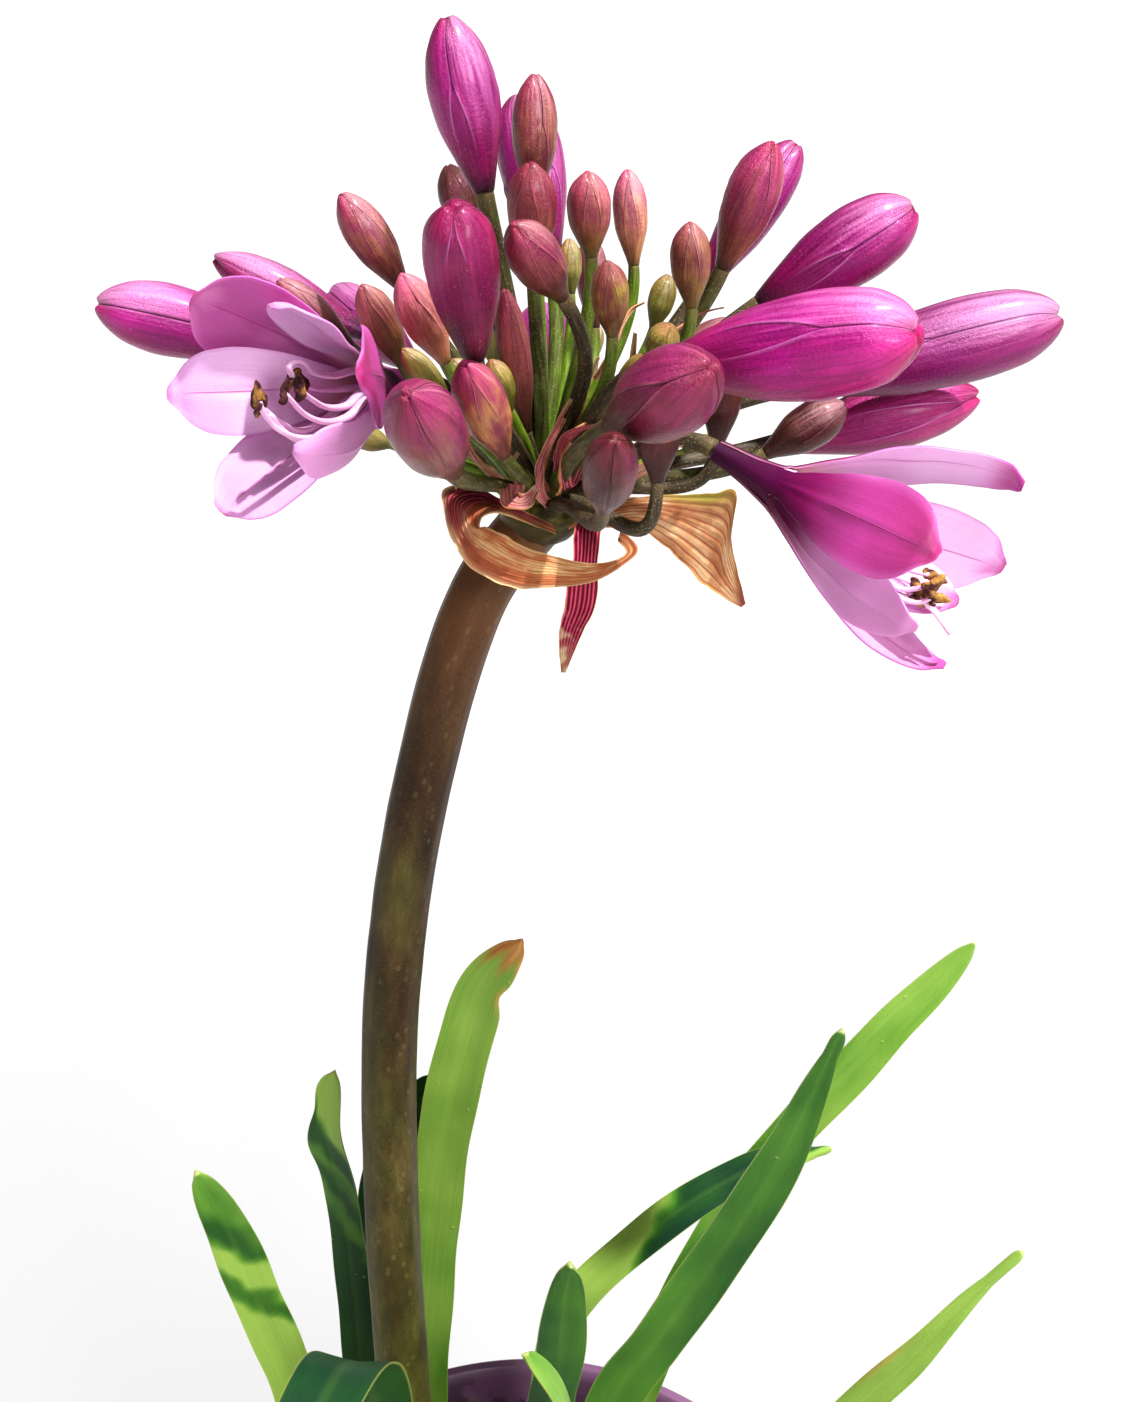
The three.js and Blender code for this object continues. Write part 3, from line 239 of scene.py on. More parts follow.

# Tepals: angle round the flower, length, width, lean at the throat, lean at the tip, then how deep the
# colour of the inner face is, partly its own colour and partly painted shade on tepals in the shade of
# others, and how pale that of the outer face is, from 0 to 1, the lift towards the flower's axis, and the
# share of the length where the flush of the tip starts.
# Stamens and style: distance along the flower's axis, distance to its side, rise above it.
FLOWERS = {
    "flower_left": {
        "stalk": (168, 46, 30),
        "axis": (-128, 9),
        "anther_lie": (0.2, 0.3, 1),
        "anther_gold": 0.3,
        "tepals": [
            (8, 23, 11.5, 39, 22, 0.0, 0.9, 1.6, 1.0),
            (52, 29, 17.5, 32, 37, 0.88, 0.3, -0.7, 1.0),
            (99, 30.5, 14, 22, 64, 0.0, 0.5, 0, 1.0),
            (161, 30, 16.5, 29, 46, 0.12, 0.5, 0, 1.0),
            (-114, 33, 11, 45, -16, 0.1, 0.9, 0, 1.0),
            (-73, 32.5, 15.5, 42, 32, 0.95, 0.1, 0, 1.0),
        ],
        "stamens": [
            [(9, 0, 0.8), (16, 0, 2.6), (21, 0, 2.1), (25, 0.5, 2.8), (27.4, 1, 4.4), (29.7, 1, 4),
             (28.7, 1, 2)],
            [(9, 0.5, 0), (15.8, 1.5, -0.5), (20.3, 2, -0.5), (23.7, 2, 0), (25.7, 2, 0.8)],
            [(9, -0.4, -0.2), (15.3, -1, -0.7), (18.2, -1, -2.6), (23, -1, -2.6), (26.6, -1, -1),
             (29, -1, 0.5)],
            [(9, -0.8, -0.6), (15.7, -2, -1.9), (19, -2, -4.2), (24, -2, -4.7), (28, -1.5, -3.4),
             (32, -1, 0)],
            [(9, -0.9, -1), (15.6, -2.5, -3.6), (20.4, -2.5, -6), (26.2, -2.5, -6.9), (30.5, -2, -6.6),
             (34.8, -2, -4.7), (37.5, -2, -2.2), (38.5, -2, -0.4)],
            [(9, 0.8, -0.5), (15, 1.5, -2.2), (20, 1.5, -5), (26, 1.5, -6.6), (31, 1, -4.8),
             (35.5, 0.5, -2)],
        ],
        "style": [(6, 0, 0), (14.1, 0, -2.4), (19.9, 0, -6.2), (26.6, 0, -8), (31, 0, -6.1),
                  (34.4, 0, -3.1)],
    },
    "flower_right": {
        "stalk": (-23, 26, 34),
        "axis": (-28, -21),
        "anther_lie": (1, -0.3, -0.1),
        "anther_gold": 0.5,
        "tepals": [
            (-45, 37.5, 15, 41, 8, 0.0, 0.1, 0, 0.8),
            (-97, 40, 14.5, 10, 54, 0.1, 0.05, 0, 1.0),
            (-143, 34.5, 10.5, 18, -20, 0.0, 0.3, 0, 1.0),
            (58, 33.5, 15, 34, 25, 0.0, 0.1, 0, 1.0),
            (108, 33.5, 12.5, 32, -6, 0.1, 0.8, 0, 1.0),
            (183, 39, 13, 30, -8, 0.55, 0.6, 0, 0.86),
        ],
        "stamens": [
            [(9, 0, 0.6), (22, 0, -2), (32.4, 0, -3.9), (37, 0, -3.3), (39.6, 0, -3.1)],
            [(9, 0.6, 0.2), (22.3, 1, -2.4), (32.8, 1, -4.1), (37.3, 1, -4.6), (39.6, 1, -3.2),
             (41.4, 1, -1.1)],
            [(9, 0.8, -0.3), (22.7, 2, -2.8), (34, 2, -4.4), (38.1, 2, -5.5), (41, 2, -4.6),
             (42.8, 2, -2.3)],
            [(9, -0.6, -0.3), (22.1, -1, -3.4), (33.4, -1, -5.1), (38.4, -1, -4.7), (41.4, -1, -4.9)],
            [(9, -0.8, 0.4), (22, -2.4, -2), (32, -2.2, -3), (37, -2, -2.4), (40, -2, -1.5)],
            [(9, 0, -0.8), (22, 0.5, -3.8), (30, 0.5, -5), (36, 0.5, -6), (40.5, 0.4, -5.2)],
        ],
        "style": [(6, 0, 0), (22.3, 0, -3.2), (34.2, 0, -4.2), (39, 0, -4.8), (43.3, 0, -5.4),
                  (47.6, 0, -7.5)],
    },
}

# Rows across each bract from its root to its tip: one edge point, then the other, from the hub.
BRACTS = {
    "bract_left": [
        ((2, -8.3, 0.6), (2.5, -7.9, -1.2)),
        ((-1.5, -9, 2.6), (-0.5, -9.4, 0.5)),
        ((-5.5, -9, 4.6), (-3.5, -10.4, 2.2)),
        ((-12, -7, 7), (-7.5, -12, 4)),
        ((-16, -9, 6.5), (-9.5, -13.5, 3.6)),
        ((-15.5, -12, 2.5), (-10, -15.5, 2.8)),
        ((-14, -14, -1), (-9, -16, 3)),
        ((-11.5, -16, -4), (-7, -16.5, 2.5)),
        ((-5, -18.5, -6.5), (-2.5, -17, 0)),
        ((2, -20, -6), (3, -18, -1.5)),
        ((8, -20.5, -5), (8, -19, -2.2)),
        ((12, -19, -3.6), (11.5, -18.5, -2)),
        ((16, -16, -1), (14, -16.5, -1.5)),
        ((13.5, -13, 1.5), (13, -13, -0.5)),
    ],
    "bract_middle": [
        ((4.6, -6.8, -0.6), (7.2, -4.6, -0.6)),
        ((6, -9, 1), (10.3, -9, 1)),
        ((5.5, -12, 0.5), (10, -12, 0.5)),
        ((5.5, -14, -3), (9.5, -14, -3)),
        ((4.5, -14.5, -7.5), (9.5, -14.5, -7.5)),
        ((4, -14.5, -12), (9, -14.5, -12)),
        ((3, -14, -16.5), (7, -14, -16.5)),
        ((3.4, -13, -24.5), (4.2, -13, -24.5)),
    ],
    "bract_right": [
        ((8.1, -2.6, -1.5), (8.3, -0.8, 1.5)),
        ((11, -5.5, -1), (12.5, -2.5, 3)),
        ((15.5, -7, 0), (19.5, -4.6, 4.4)),
        ((21.5, -7.5, -4), (28, -5, 4.8)),
        ((27.5, -8, -10), (32.5, -4, 4.8)),
        ((31, -8, -12.5), (32.5, -4, -4)),
        ((34.4, -7, -15), (35.2, -6.5, -14.5)),
    ],
}

LEAF_THICKNESS = 2.0
LEAF_TIP_SHARE = 0.26
LEAF_CHANNEL = 0.1

# Leaves: midrib points, width, share of the length where the taper starts, sharpness of the tip, the ways
# that the upper face looks at root and tip, and how yellow-green it is at shares of its length, where 1 is
# fully so. This tone is partly the leaf's own colour and partly painted shade: the sharp dips to dark tone
# are painted shadows, and the low tone of whole leaves is partly painted shade.
LEAVES = {
    "leaf_left": (
        [(-39, -3, 118), (-43.5, -3, 160), (-48, -3.5, 203.5), (-53, -7, 231.5), (-56.5, -11, 254),
         (-60, -15, 271)],
        9.5, 0.72, 0.5, (0.3, -0.9, 0.2), (0.4, -0.9, 0.2),
        [(0, 1), (0.68, 1.1), (0.73, 0.35), (0.75, 0.35), (0.79, 1.1), (0.81, 1.05), (0.86, 0.25),
         (0.88, 0.3),
         (0.93, 0.65), (1, 0.7)],
    ),
    "leaf_notched": (
        [(-38, 18, 118), (-37, 18, 165), (-37, 18, 208.5), (-38.5, 18, 238.5), (-40.5, 17, 257),
         (-38, 16, 270)],
        8, 0.85, 0.5, (0, -1, 0), (-0.4, -0.9, 0),
        [(0, 0.2), (0.68, 0.2), (0.73, 0.6), (0.78, 0.2), (0.82, 0.55), (0.85, 0.15), (0.88, 0.2),
         (0.92, 0.95),
         (1, 1)],
    ),
    "leaf_tall": (
        [(-24, 21, 118), (-23, 21, 180), (-21, 22.5, 207), (-19.5, 23, 223), (-16, 23, 250),
         (-11.5, 23, 271.5), (-6.5, 23, 287.5), (0.5, 22, 298)],
        11.5, 0.82, 0.5, (0, -1, 0), (-0.2, -0.9, 0.2),
        [(0, 0.7), (0.6, 0.8), (1, 0.9)],
    ),
    "leaf_behind_scape": (
        [(-31, 31, 118), (-31, 31, 192), (-30, 32, 226), (-25, 33, 243), (-18.5, 34, 255)],
        13, 0.8, 0.5, (0, -1, 0), (0, -1, 0.2),
        [(0, 0), (1, 0.1)],
    ),
    "leaf_front_arch": (
        [(-26, -20, 118), (-26, -27, 175), (-25.5, -40, 240), (-26, -52, 261), (-28, -64, 271),
         (-32, -78, 270), (-37, -92, 255), (-40, -101, 238)],
        13, 0.7, 0.5, (0, 1, 0.3), (0, -0.5, 0.9),
        [(0, 0.2), (1, 0.1)],
    ),
    "leaf_front_short": (
        [(5, -26, 118), (5.8, -32, 180), (6.5, -36, 235), (8, -38, 246.5), (9, -41, 262),
         (10, -44, 276.5)],
        8.8, 0.8, 0.5, (0, -1, 0.1), (0, -1, 0.2),
        [(0, 0.45), (0.7, 0.25), (1, 0.5)],
    ),
    "leaf_edge_on": (
        [(20, -32, 118), (16, -40, 180), (8.2, -48, 248), (2.2, -50, 262)],
        7, 0.8, 0.5, (1, 0, 0.2), (1, 0, 0.2),
        [(0, 0.8), (1, 0.7)],
    ),
    "leaf_big_right": (
        [(3, -12, 118), (10, -12.5, 165), (19.5, -13, 211), (27.5, -14.5, 228), (36, -15.5, 246),
         (43.5, -16, 262), (50, -16, 277.5), (54.5, -16, 292), (58.5, -16, 304.5)],
        10.6, 0.6, 0.8, (0, -1, 0.2), (-0.1, -1, 0.2),
        [(0, 0.5), (0.55, 0.5), (0.75, 0.35), (1, 0.4)],
    ),
    "leaf_far_right": (
        [(14, 16, 118), (27, 17, 182), (44, 18, 230), (58, 19.5, 253), (70, 21, 268.5),
         (77, 22.5, 277.5), (84, 24, 285), (92.4, 26, 294.6)],
        8.8, 0.75, 0.5, (-0.2, -1, 0.3), (-0.2, -0.9, 0.4),
        [(0, 0.75), (0.7, 0.65), (0.85, 0.8), (1, 0.8)],
    ),
    "leaf_arched_right": (
        [(4, 2, 118), (5, 2, 170), (8, 3, 212), (13, 4, 222), (25.5, 7, 234), (35, 9, 241.5),
         (44, 11, 246.5), (51, 12, 250), (59, 13, 251), (64.5, 13, 252.5)],
        7.8, 0.75, 0.8, (-0.3, -0.8, 0.55), (0, -0.7, 0.7),
        [(0, 1.3), (0.72, 1.3), (0.79, 0.1), (0.93, 0.05), (0.96, 0.9), (1, 1)],
    ),
    "leaf_low_right": (
        [(34, -6, 118), (46, -8, 153), (60, -9, 184), (72, -9, 205.5), (80.5, -10, 218.5),
         (90.5, -10, 235), (99, -10, 246.5)],
        8.7, 0.35, 1.0, (-0.5, -0.7, 0.3), (-0.3, -0.7, 0.6),
        [(0, 0.85), (1, 0.9)],
    ),
    "leaf_trailing_left": (
        [(-50, 4, 118), (-57, 3, 152), (-70, 2, 171), (-88, 1, 174), (-106, 0, 158), (-120, -1, 130)],
        11, 0.6, 0.8, (1, 0, 0.3), (0, 0, 1),
        [(0, 0.3), (1, 0.5)],
    ),
    "leaf_trailing_right": (
        [(50, 10, 118), (59, 13, 144), (74, 20, 158), (93, 27, 152), (110, 32, 133), (122, 36, 106)],
        11, 0.6, 0.8, (-1, -0.3, 0.3), (0, 0, 1),
        [(0, 0.5), (1, 0.6)],
    ),
    "leaf_trailing_front": (
        [(30, -36, 118), (36, -45, 160), (44, -62, 190), (54, -84, 194), (62, -104, 172),
         (68, -118, 140)],
        12, 0.6, 0.8, (-0.4, 0.9, 0.3), (0, 0, 1),
        [(0, 0.5), (1, 0.4)],
    ),
    "leaf_trailing_near_left": (
        [(-44, -26, 118), (-52, -35, 158), (-66, -50, 182), (-84, -68, 180), (-98, -84, 156)],
        10, 0.6, 0.8, (0.7, 0.7, 0.3), (0, 0, 1),
        [(0, 0.3), (1, 0.4)],
    ),
}


# ---------------------------------------------------------------- vectors and curves

def unit(v):
    v = np.asarray(v, float)
    return v / np.maximum(np.linalg.norm(v, axis=-1, keepdims=True), 1e-12)


def direction(bearing, rise):
    """Unit vector at a bearing from +X towards +Y and a rise above level, in degrees."""
    turn, lift = math.radians(bearing), math.radians(rise)
    return np.array([math.cos(turn) * math.cos(lift), math.sin(turn) * math.cos(lift), math.sin(lift)])


def square_to(along, wanted):
    """Unit vectors across `along`, as close to `wanted` as a right angle allows."""
    along, wanted = np.asarray(along, float), np.asarray(wanted, float)
    return unit(wanted - along * np.sum(wanted * along, axis=-1, keepdims=True))


def smooth(low, high, x):
    t = np.clip((np.asarray(x, float) - low) / (high - low), 0, 1)
    return t * t * (3 - 2 * t)


def near(x, middle, width):
    return np.exp(-(((np.asarray(x, float) - middle) / width) ** 2))


def through(pairs, x):
    """Smooth curve through (x, y) pairs that doesn't overshoot them."""
    xs, ys = np.array(pairs, float).T
    slopes = np.diff(ys) / np.diff(xs)
    tangents = np.zeros(len(xs))
    for i in range(1, len(xs) - 1):
        if slopes[i - 1] * slopes[i] > 0:
            tangents[i] = 2 / (1 / slopes[i - 1] + 1 / slopes[i])
    tangents[0], tangents[-1] = slopes[0], slopes[-1]
    x = np.clip(np.asarray(x, float), xs[0], xs[-1])
    i = np.clip(np.searchsorted(xs, x, side="right") - 1, 0, len(xs) - 2)
    span = xs[i + 1] - xs[i]
    t = (x - xs[i]) / span
    return (
        ys[i] * (1 + 2 * t) * (1 - t) ** 2
        + tangents[i] * span * t * (1 - t) ** 2
        + ys[i + 1] * t * t * (3 - 2 * t)
        + tangents[i + 1] * span * t * t * (t - 1)
    )


def spline(points, t):
    """Centripetal Catmull-Rom curve through points, at places t from 0 to 1 counted in points."""
    points = np.array(points, float)
    points = np.vstack([2 * points[0] - points[1], points, 2 * points[-1] - points[-2]])
    place = np.clip(np.asarray(t, float), 0, 1) * (len(points) - 3)
    i = np.minimum(place.astype(int), len(points) - 4)
    weight = (place - i)[:, None]
    p0, p1, p2, p3 = (points[i + k] for k in range(4))
    d0, d1, d2 = (np.maximum(np.linalg.norm(b - a, axis=1, keepdims=True) ** 0.5, 1e-4)
                  for a, b in ((p0, p1), (p1, p2), (p2, p3)))
    m1 = ((p1 - p0) / d0 - (p2 - p0) / (d0 + d1) + (p2 - p1) / d1) * d1
    m2 = ((p2 - p1) / d1 - (p3 - p1) / (d1 + d2) + (p3 - p2) / d2) * d1
    c2 = -3 * p1 + 3 * p2 - 2 * m1 - m2
    c3 = 2 * p1 - 2 * p2 + m1 + m2
    return p1 + m1 * weight + c2 * weight ** 2 + c3 * weight ** 3


def evenly(fine, shares):
    """Points on a finely drawn line at shares of its length."""
    reach = np.concatenate([[0], np.cumsum(np.linalg.norm(np.diff(fine, axis=0), axis=1))])
    lengths = np.asarray(shares, float) * reach[-1]
    return np.stack([np.interp(lengths, reach, fine[:, k]) for k in range(3)], axis=-1)


def along_spline(points, shares):
    return evenly(spline(points, np.linspace(0, 1, 1200)), shares)


def tangents_of(centres):
    return unit(np.gradient(centres, axis=0))


def bezier(a, b, c, d, count=400):
    t = np.linspace(0, 1, count)[:, None]
    return a * (1 - t) ** 3 + 3 * b * t * (1 - t) ** 2 + 3 * c * t * t * (1 - t) + d * t ** 3


def turns(sides):
    """Angles of the corners of a ring."""
    return 2 * np.pi * np.arange(sides) / sides


def rings(radii, heights, angle):
    """Rings of points round the Z axis, one for each radius and height."""
    return np.stack(np.broadcast_arrays(radii * np.cos(angle), radii * np.sin(angle), heights), -1)


def lumps(points, size, seed=0.0):
    """Smooth noise from about -1 to 1 at each point, with lumps of the given size in mm."""
    flat = np.asarray(points, float).reshape(-1, 3) / size + seed
    values = [noise.noise(Vector(p)) for p in flat]
    return np.array(values).reshape(np.shape(points)[:-1])


# ---------------------------------------------------------------- meshes

class Skin:
    """Collects grids of points, in millimetres, into one mesh."""

    def __init__(self):
        self.points = []
        self.count = 0
        self.faces = []
        self.uvs = []
        self.caps = []
        self.values = {}

    def grid(self, points, wrap=False, flip=False, uv=None, caps=False, **values):
        """Adds rows and columns of points. `wrap` joins the last column to the first."""
        rows, columns = points.shape[:2]
        index = self.count + np.arange(rows * columns).reshape(rows, columns)
        across = columns if wrap else columns - 1
        j = np.arange(across)
        k = (j + 1) % columns
        quads = np.stack([index[:-1][:, j], index[:-1][:, k], index[1:][:, k], index[1:][:, j]], -1)
        if uv is None:
            u = np.linspace(0, 1, across + 1)
            v = np.linspace(0, 1, rows)
        else:
            u, v = uv
        u0, v0 = np.meshgrid(u[:-1], v[:-1])
        u1, v1 = np.meshgrid(u[1:], v[1:])
        corners = np.stack([np.stack([u0, v0], -1), np.stack([u1, v0], -1),
                            np.stack([u1, v1], -1), np.stack([u0, v1], -1)], 2)
        quads, corners = quads.reshape(-1, 4), corners.reshape(-1, 4, 2)
        if flip:
            quads, corners = quads[:, ::-1], corners[:, ::-1]
        self.faces.append(quads)
        self.uvs.append(corners)
        if caps:
            first, last = index[0][::-1], index[-1]
            if flip:
                first, last = first[::-1], last[::-1]
            self.caps += [(first, v[0]), (last, v[-1])]
        self.points.append(points.reshape(-1, 3))
        for name, value in values.items():
            value = np.broadcast_to(np.asarray(value, float), (rows, columns)).reshape(-1)
            self.values.setdefault(name, []).append((self.count, value))
        self.count += rows * columns
        return index

    def strip(self, a, b, va, vb):
        """Adds a strip of faces between two rows of points that are already in the mesh."""
        quads = np.stack([a[:-1], a[1:], b[1:], b[:-1]], -1)
        corners = np.stack([va[:-1], va[1:], vb[1:], vb[:-1]], 1)
        self.faces.append(quads)
        self.uvs.append(corners)

    def sheet(self, top, bottom, v=None, closed_root=True, **values):
        """Adds a thin sheet. `side` is 0 on its upper face and 1 on its lower face."""
        rows, columns = top.shape[:2]
        u = np.linspace(0, 1, columns)
        v = np.linspace(0, 1, rows) if v is None else v
        a = self.grid(top, uv=(u, v), side=0, **values)
        b = self.grid(bottom, uv=(u, v), flip=True, side=1, **values)
        left = np.stack([np.zeros(rows), v], -1)
        right = np.stack([np.ones(rows), v], -1)
        self.strip(a[:, 0], b[:, 0], left, left)
        self.strip(b[:, -1], a[:, -1], right, right)
        if closed_root:
            root = np.stack([u, np.zeros(columns)], -1)
            self.strip(b[0], a[0], root, root)
        tip = np.stack([u, np.ones(columns)], -1)
        self.strip(a[-1], b[-1], tip, tip)

    def mesh(self, name):
        points = np.concatenate(self.points) * MM
        quads = np.concatenate(self.faces)
        corners = np.concatenate(self.uvs).reshape(-1, 2)
        loops = [quads.reshape(-1)] + [np.asarray(cap) for cap, _ in self.caps]
        corners = [corners] + [np.tile([0.5, v], (len(cap), 1)) for cap, v in self.caps]
        sizes = np.concatenate([np.full(len(quads), 4), [len(cap) for cap, _ in self.caps]]).astype(int)
        loops, corners = np.concatenate(loops), np.concatenate(corners)
        mesh = bpy.data.meshes.new(name)
        mesh.vertices.add(len(points))
        mesh.vertices.foreach_set("co", points.astype(np.float32).ravel())
        mesh.loops.add(len(loops))
        mesh.loops.foreach_set("vertex_index", loops.astype(np.int32))
        mesh.polygons.add(len(sizes))
        mesh.polygons.foreach_set("loop_start", (np.cumsum(sizes) - sizes).astype(np.int32))
        mesh.update(calc_edges=True)
        layer = mesh.uv_layers.new(name="UVMap")
        layer.data.foreach_set("uv", corners.astype(np.float32).ravel())
        for key, parts in self.values.items():
            whole = np.zeros(len(points), np.float32)
            for start, value in parts:
                whole[start:start + len(value)] = value
            mesh.attributes.new(key, "FLOAT", "POINT").data.foreach_set("value", whole)
        mesh.validate()
        mesh.shade_smooth()
        return mesh


def placed(name, data):
    """A new object in the scene."""
    made = bpy.data.objects.new(name, data)
    bpy.context.scene.collection.objects.link(made)
    return made


def show(name, skin, material, slot, *nodes, sharp=None):
    """Puts a skin in the scene as a piece of the part that stands for CAD nodes."""
    mesh = skin.mesh(name)
    if sharp is not None:
        mesh.set_sharp_from_angle(angle=math.radians(sharp))
    piece = placed(name, mesh)
    mesh.materials.append(material)
    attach(piece, "root")
    if nodes:
        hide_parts(*nodes)
    return piece


def tube(centres, radii, sides, first=None):
    """Grid of points round a line. `radii` has one value a row, or one a point."""
    along = tangents_of(centres)
    normal = square_to(along[0], (0.3, 0.2, 1) if first is None else first)
    normals = []
    for tangent in along:
        normal = square_to(tangent, normal)
        normals.append(normal)
    normals = np.array(normals)
    others = np.cross(along, normals)
    angle = turns(sides)
    spokes = normals[:, None] * np.cos(angle)[:, None] + others[:, None] * np.sin(angle)[:, None]
    radii = np.asarray(radii, float)
    radii = radii[:, None] if radii.ndim == 1 else radii
    return centres[:, None] + spokes * radii[..., None]


# ---------------------------------------------------------------- materials

def linear(colour):
    """Linear colour of a screen colour 0xRRGGBB. A linear colour stays as it is."""
    if not isinstance(colour, int):
        return colour
    parts = [(colour >> shift & 255) / 255 for shift in (16, 8, 0)]
    return tuple(p / 12.92 if p <= 0.04045 else ((p + 0.055) / 1.055) ** 2.4 for p in parts) + (1.0,)


def paler(colour, share):
    """A colour mixed with a share of white."""
    return tuple(part + (1 - part) * share for part in linear(colour)[:3]) + (1.0,)


class Field:
    """A value that varies over a surface: a node's output, added and multiplied as a number is."""

    def __init__(self, paint, socket):
        self.paint = paint
        self.socket = socket

    def __add__(self, other):
        return self.paint.math("ADD", self, other)

    def __sub__(self, other):
        return self.paint.math("SUBTRACT", self, other)

    def __mul__(self, other):
        return self.paint.math("MULTIPLY", self, other)

    def __abs__(self):
        return self.paint.math("ABSOLUTE", self)

    __radd__ = __add__
    __rmul__ = __mul__


class Paint:
    """Short-hand for a node material round one Principled shader."""

    def __init__(self, name, **constants):
        self.material = bpy.data.materials.new(name)
        self.material.use_nodes = True
        self.tree = self.material.node_tree
        self.shader = self.tree.nodes["Principled BSDF"]
        for key, value in constants.items():
            self.put(self.shader.inputs[key.replace("_", " ")], value)
        self.where = self.node("TexCoord", "Object")
        uv = self.node("UVMap", "UV")
        self.u = self.node("SeparateXYZ", "X", Vector=uv)
        self.v = self.node("SeparateXYZ", "Y", Vector=uv)

    def put(self, socket, value):
        if isinstance(value, Field):
            self.tree.links.new(value.socket, socket)
        else:
            socket.default_value = linear(value) if socket.type == "RGBA" else value

    def node(self, kind, output, settings=None, **inputs):
        """Output of a new node with these settings and inputs."""
        made = self.tree.nodes.new("ShaderNode" + kind)
        for key, value in (settings or {}).items():
            setattr(made, key, value)
        for key, value in inputs.items():
            self.put(made.inputs[key.replace("_", " ")], value)
        return Field(self, made.outputs[output])

    def math(self, operation, *values, clamp=False):
        made = self.tree.nodes.new("ShaderNodeMath")
        made.operation = operation
        made.use_clamp = clamp
        for socket, value in zip(made.inputs, values):
            self.put(socket, value)
        return Field(self, made.outputs[0])

    def span(self, x, low, high, to_low=0.0, to_high=1.0):
        """x from low to high, eased to the range to_low to to_high."""
        return self.node("MapRange", "Result", {"interpolation_type": "SMOOTHSTEP"}, Value=x,
                         From_Min=low, From_Max=high, To_Min=to_low, To_Max=to_high)

    def value(self, name):
        """A value that the mesh carries at each of its points."""
        return self.node("Attribute", "Fac", {"attribute_name": name})

    def mix(self, factor, a, b, blend="MIX"):
        """Colour from a to b as the factor goes from 0 to 1."""
        made = self.tree.nodes.new("ShaderNodeMix")
        made.data_type = "RGBA"
        made.blend_type = blend
        for index, value in ((0, factor), (6, a), (7, b)):
            self.put(made.inputs[index], value)
        return Field(self, made.outputs[2])

    def shaded(self, colour, light, share):
        """A share of the colour's light and dark follows `light`, where 1 leaves it as it is."""
        grey = self.node("CombineXYZ", "Vector", X=light, Y=light, Z=light)
        return self.mix(share, colour, grey, "MULTIPLY")

    def ramp(self, factor, stops):
        """Colour that runs through (place, colour) stops as the factor goes from 0 to 1."""
        stops = list(stops)
        made = self.tree.nodes.new("ShaderNodeValToRGB")
        self.put(made.inputs["Fac"], factor)
        elements = made.color_ramp.elements
        while len(elements) < len(stops):
            elements.new(1.0)
        for element, (place, colour) in zip(elements, stops):
            element.position = place
            element.color = linear(colour)
        return Field(self, made.outputs["Color"])

    def noise(self, scale, place=None, detail=3.0, roughness=0.55):
        return self.node("TexNoise", "Fac", Vector=self.where if place is None else place,
                         Scale=scale, Detail=detail, Roughness=roughness)

    def stretched(self, across, along):
        """Texture place that runs `across` times faster round a piece than `along` it."""
        seed = self.value("seed")
        return self.node("CombineXYZ", "Vector", X=self.u * across + seed, Y=self.v * along, Z=seed)

    def streaks(self, across, along, detail=3.0, roughness=0.55):
        """Noise that is drawn out along a piece."""
        return self.noise(1.0, self.stretched(across, along), detail, roughness)

    def specks(self, scale, size, place=None):
        """Mask of scattered dots: 1 in a dot, 0 between the dots. `size` is a share of a cell."""
        distance = self.node("TexVoronoi", "Distance", Vector=self.where if place is None else place,
                             Scale=scale)
        return self.span(distance, size * 0.6, size, 1.0, 0.0)

    def bump(self, height, distance, strength=1.0):
        return self.node("Bump", "Normal", Height=height, Distance=distance, Strength=strength)

    def finish(self, colour, normal=None, roughness=None):
        self.put(self.shader.inputs["Base Color"], colour)
        if normal is not None:
            self.put(self.shader.inputs["Normal"], normal)
        if roughness is not None:
            self.put(self.shader.inputs["Roughness"], roughness)
        return self.material


# Tints of the gloss on ripe buds and on all others, and the magenta of ripe skin from foot to tip.
SILKY = (1.0, 0.4, 0.9, 1.0)
WAXY = (1.0, 0.58, 0.58, 1.0)
MAGENTA = [(0.0, 0x540630), (0.2, 0x8c0c5c), (0.55, 0x9c1476), (0.85, 0x9e1e72), (1.0, 0x941c58)]

# Skins of buds: the colours from foot to tip, of golden patches, of seams, of lips and of the foot,
# then the roughness and how strongly the lips show. The ripe skin also has a share of magenta near
# its foot, and a tint of its gloss.
BUD_SKINS = {
    "ripe": ([(0.0, 0x460e1e), (0.3, 0x6c1432), (0.7, 0x881c42), (1.0, 0x921e4a)],
             0x844638, 0x42042c, 0xd684c4, 0x381422, 0.3, 0.5, 0.85, SILKY),
    "half": ([(0.0, 0x4a241a), (0.25, 0x6c302a), (0.6, 0x803838), (1.0, 0x8e3246)],
             0x8c5e3a, 0x380e18, 0xc4787e, 0x3e221a, 0.31, 0.35),
    "young": ([(0.0, 0x6c5828), (0.3, 0x7c4c32), (0.7, 0x8a4842), (1.0, 0x965452)],
              0x8e7634, 0x461a1a, 0xd6a098, 0x685c2c, 0.38, 0.32),
    "pale": ([(0.0, 0x8c603e), (0.3, 0xa86854), (0.7, 0xb06868), (1.0, 0xb85c74)],
             0xb08c58, 0x6e2c30, 0xdeb0aa, 0x785c38, 0.38, 0.35),
    "tawny": ([(0.0, 0x783c32), (0.3, 0x943e42), (0.7, 0x9e3c52), (1.0, 0xaa3468)],
              0xbc8456, 0x581e28, 0xdea096, 0x603828, 0.34, 0.4),
    "dusk": ([(0.0, 0x2a1814), (0.4, 0x441c18), (1.0, 0x5c2622)],
             0x603e28, 0x1e080e, 0x965c60, 0x2e1c18, 0.38, 0.2),
    "green": ([(0.0, 0x5c6622), (0.4, 0x848632), (0.8, 0x96843a), (1.0, 0x9c7446)],
              0xa47e48, 0x464018, 0xcec482, 0x545e20, 0.42, 0.4),
}


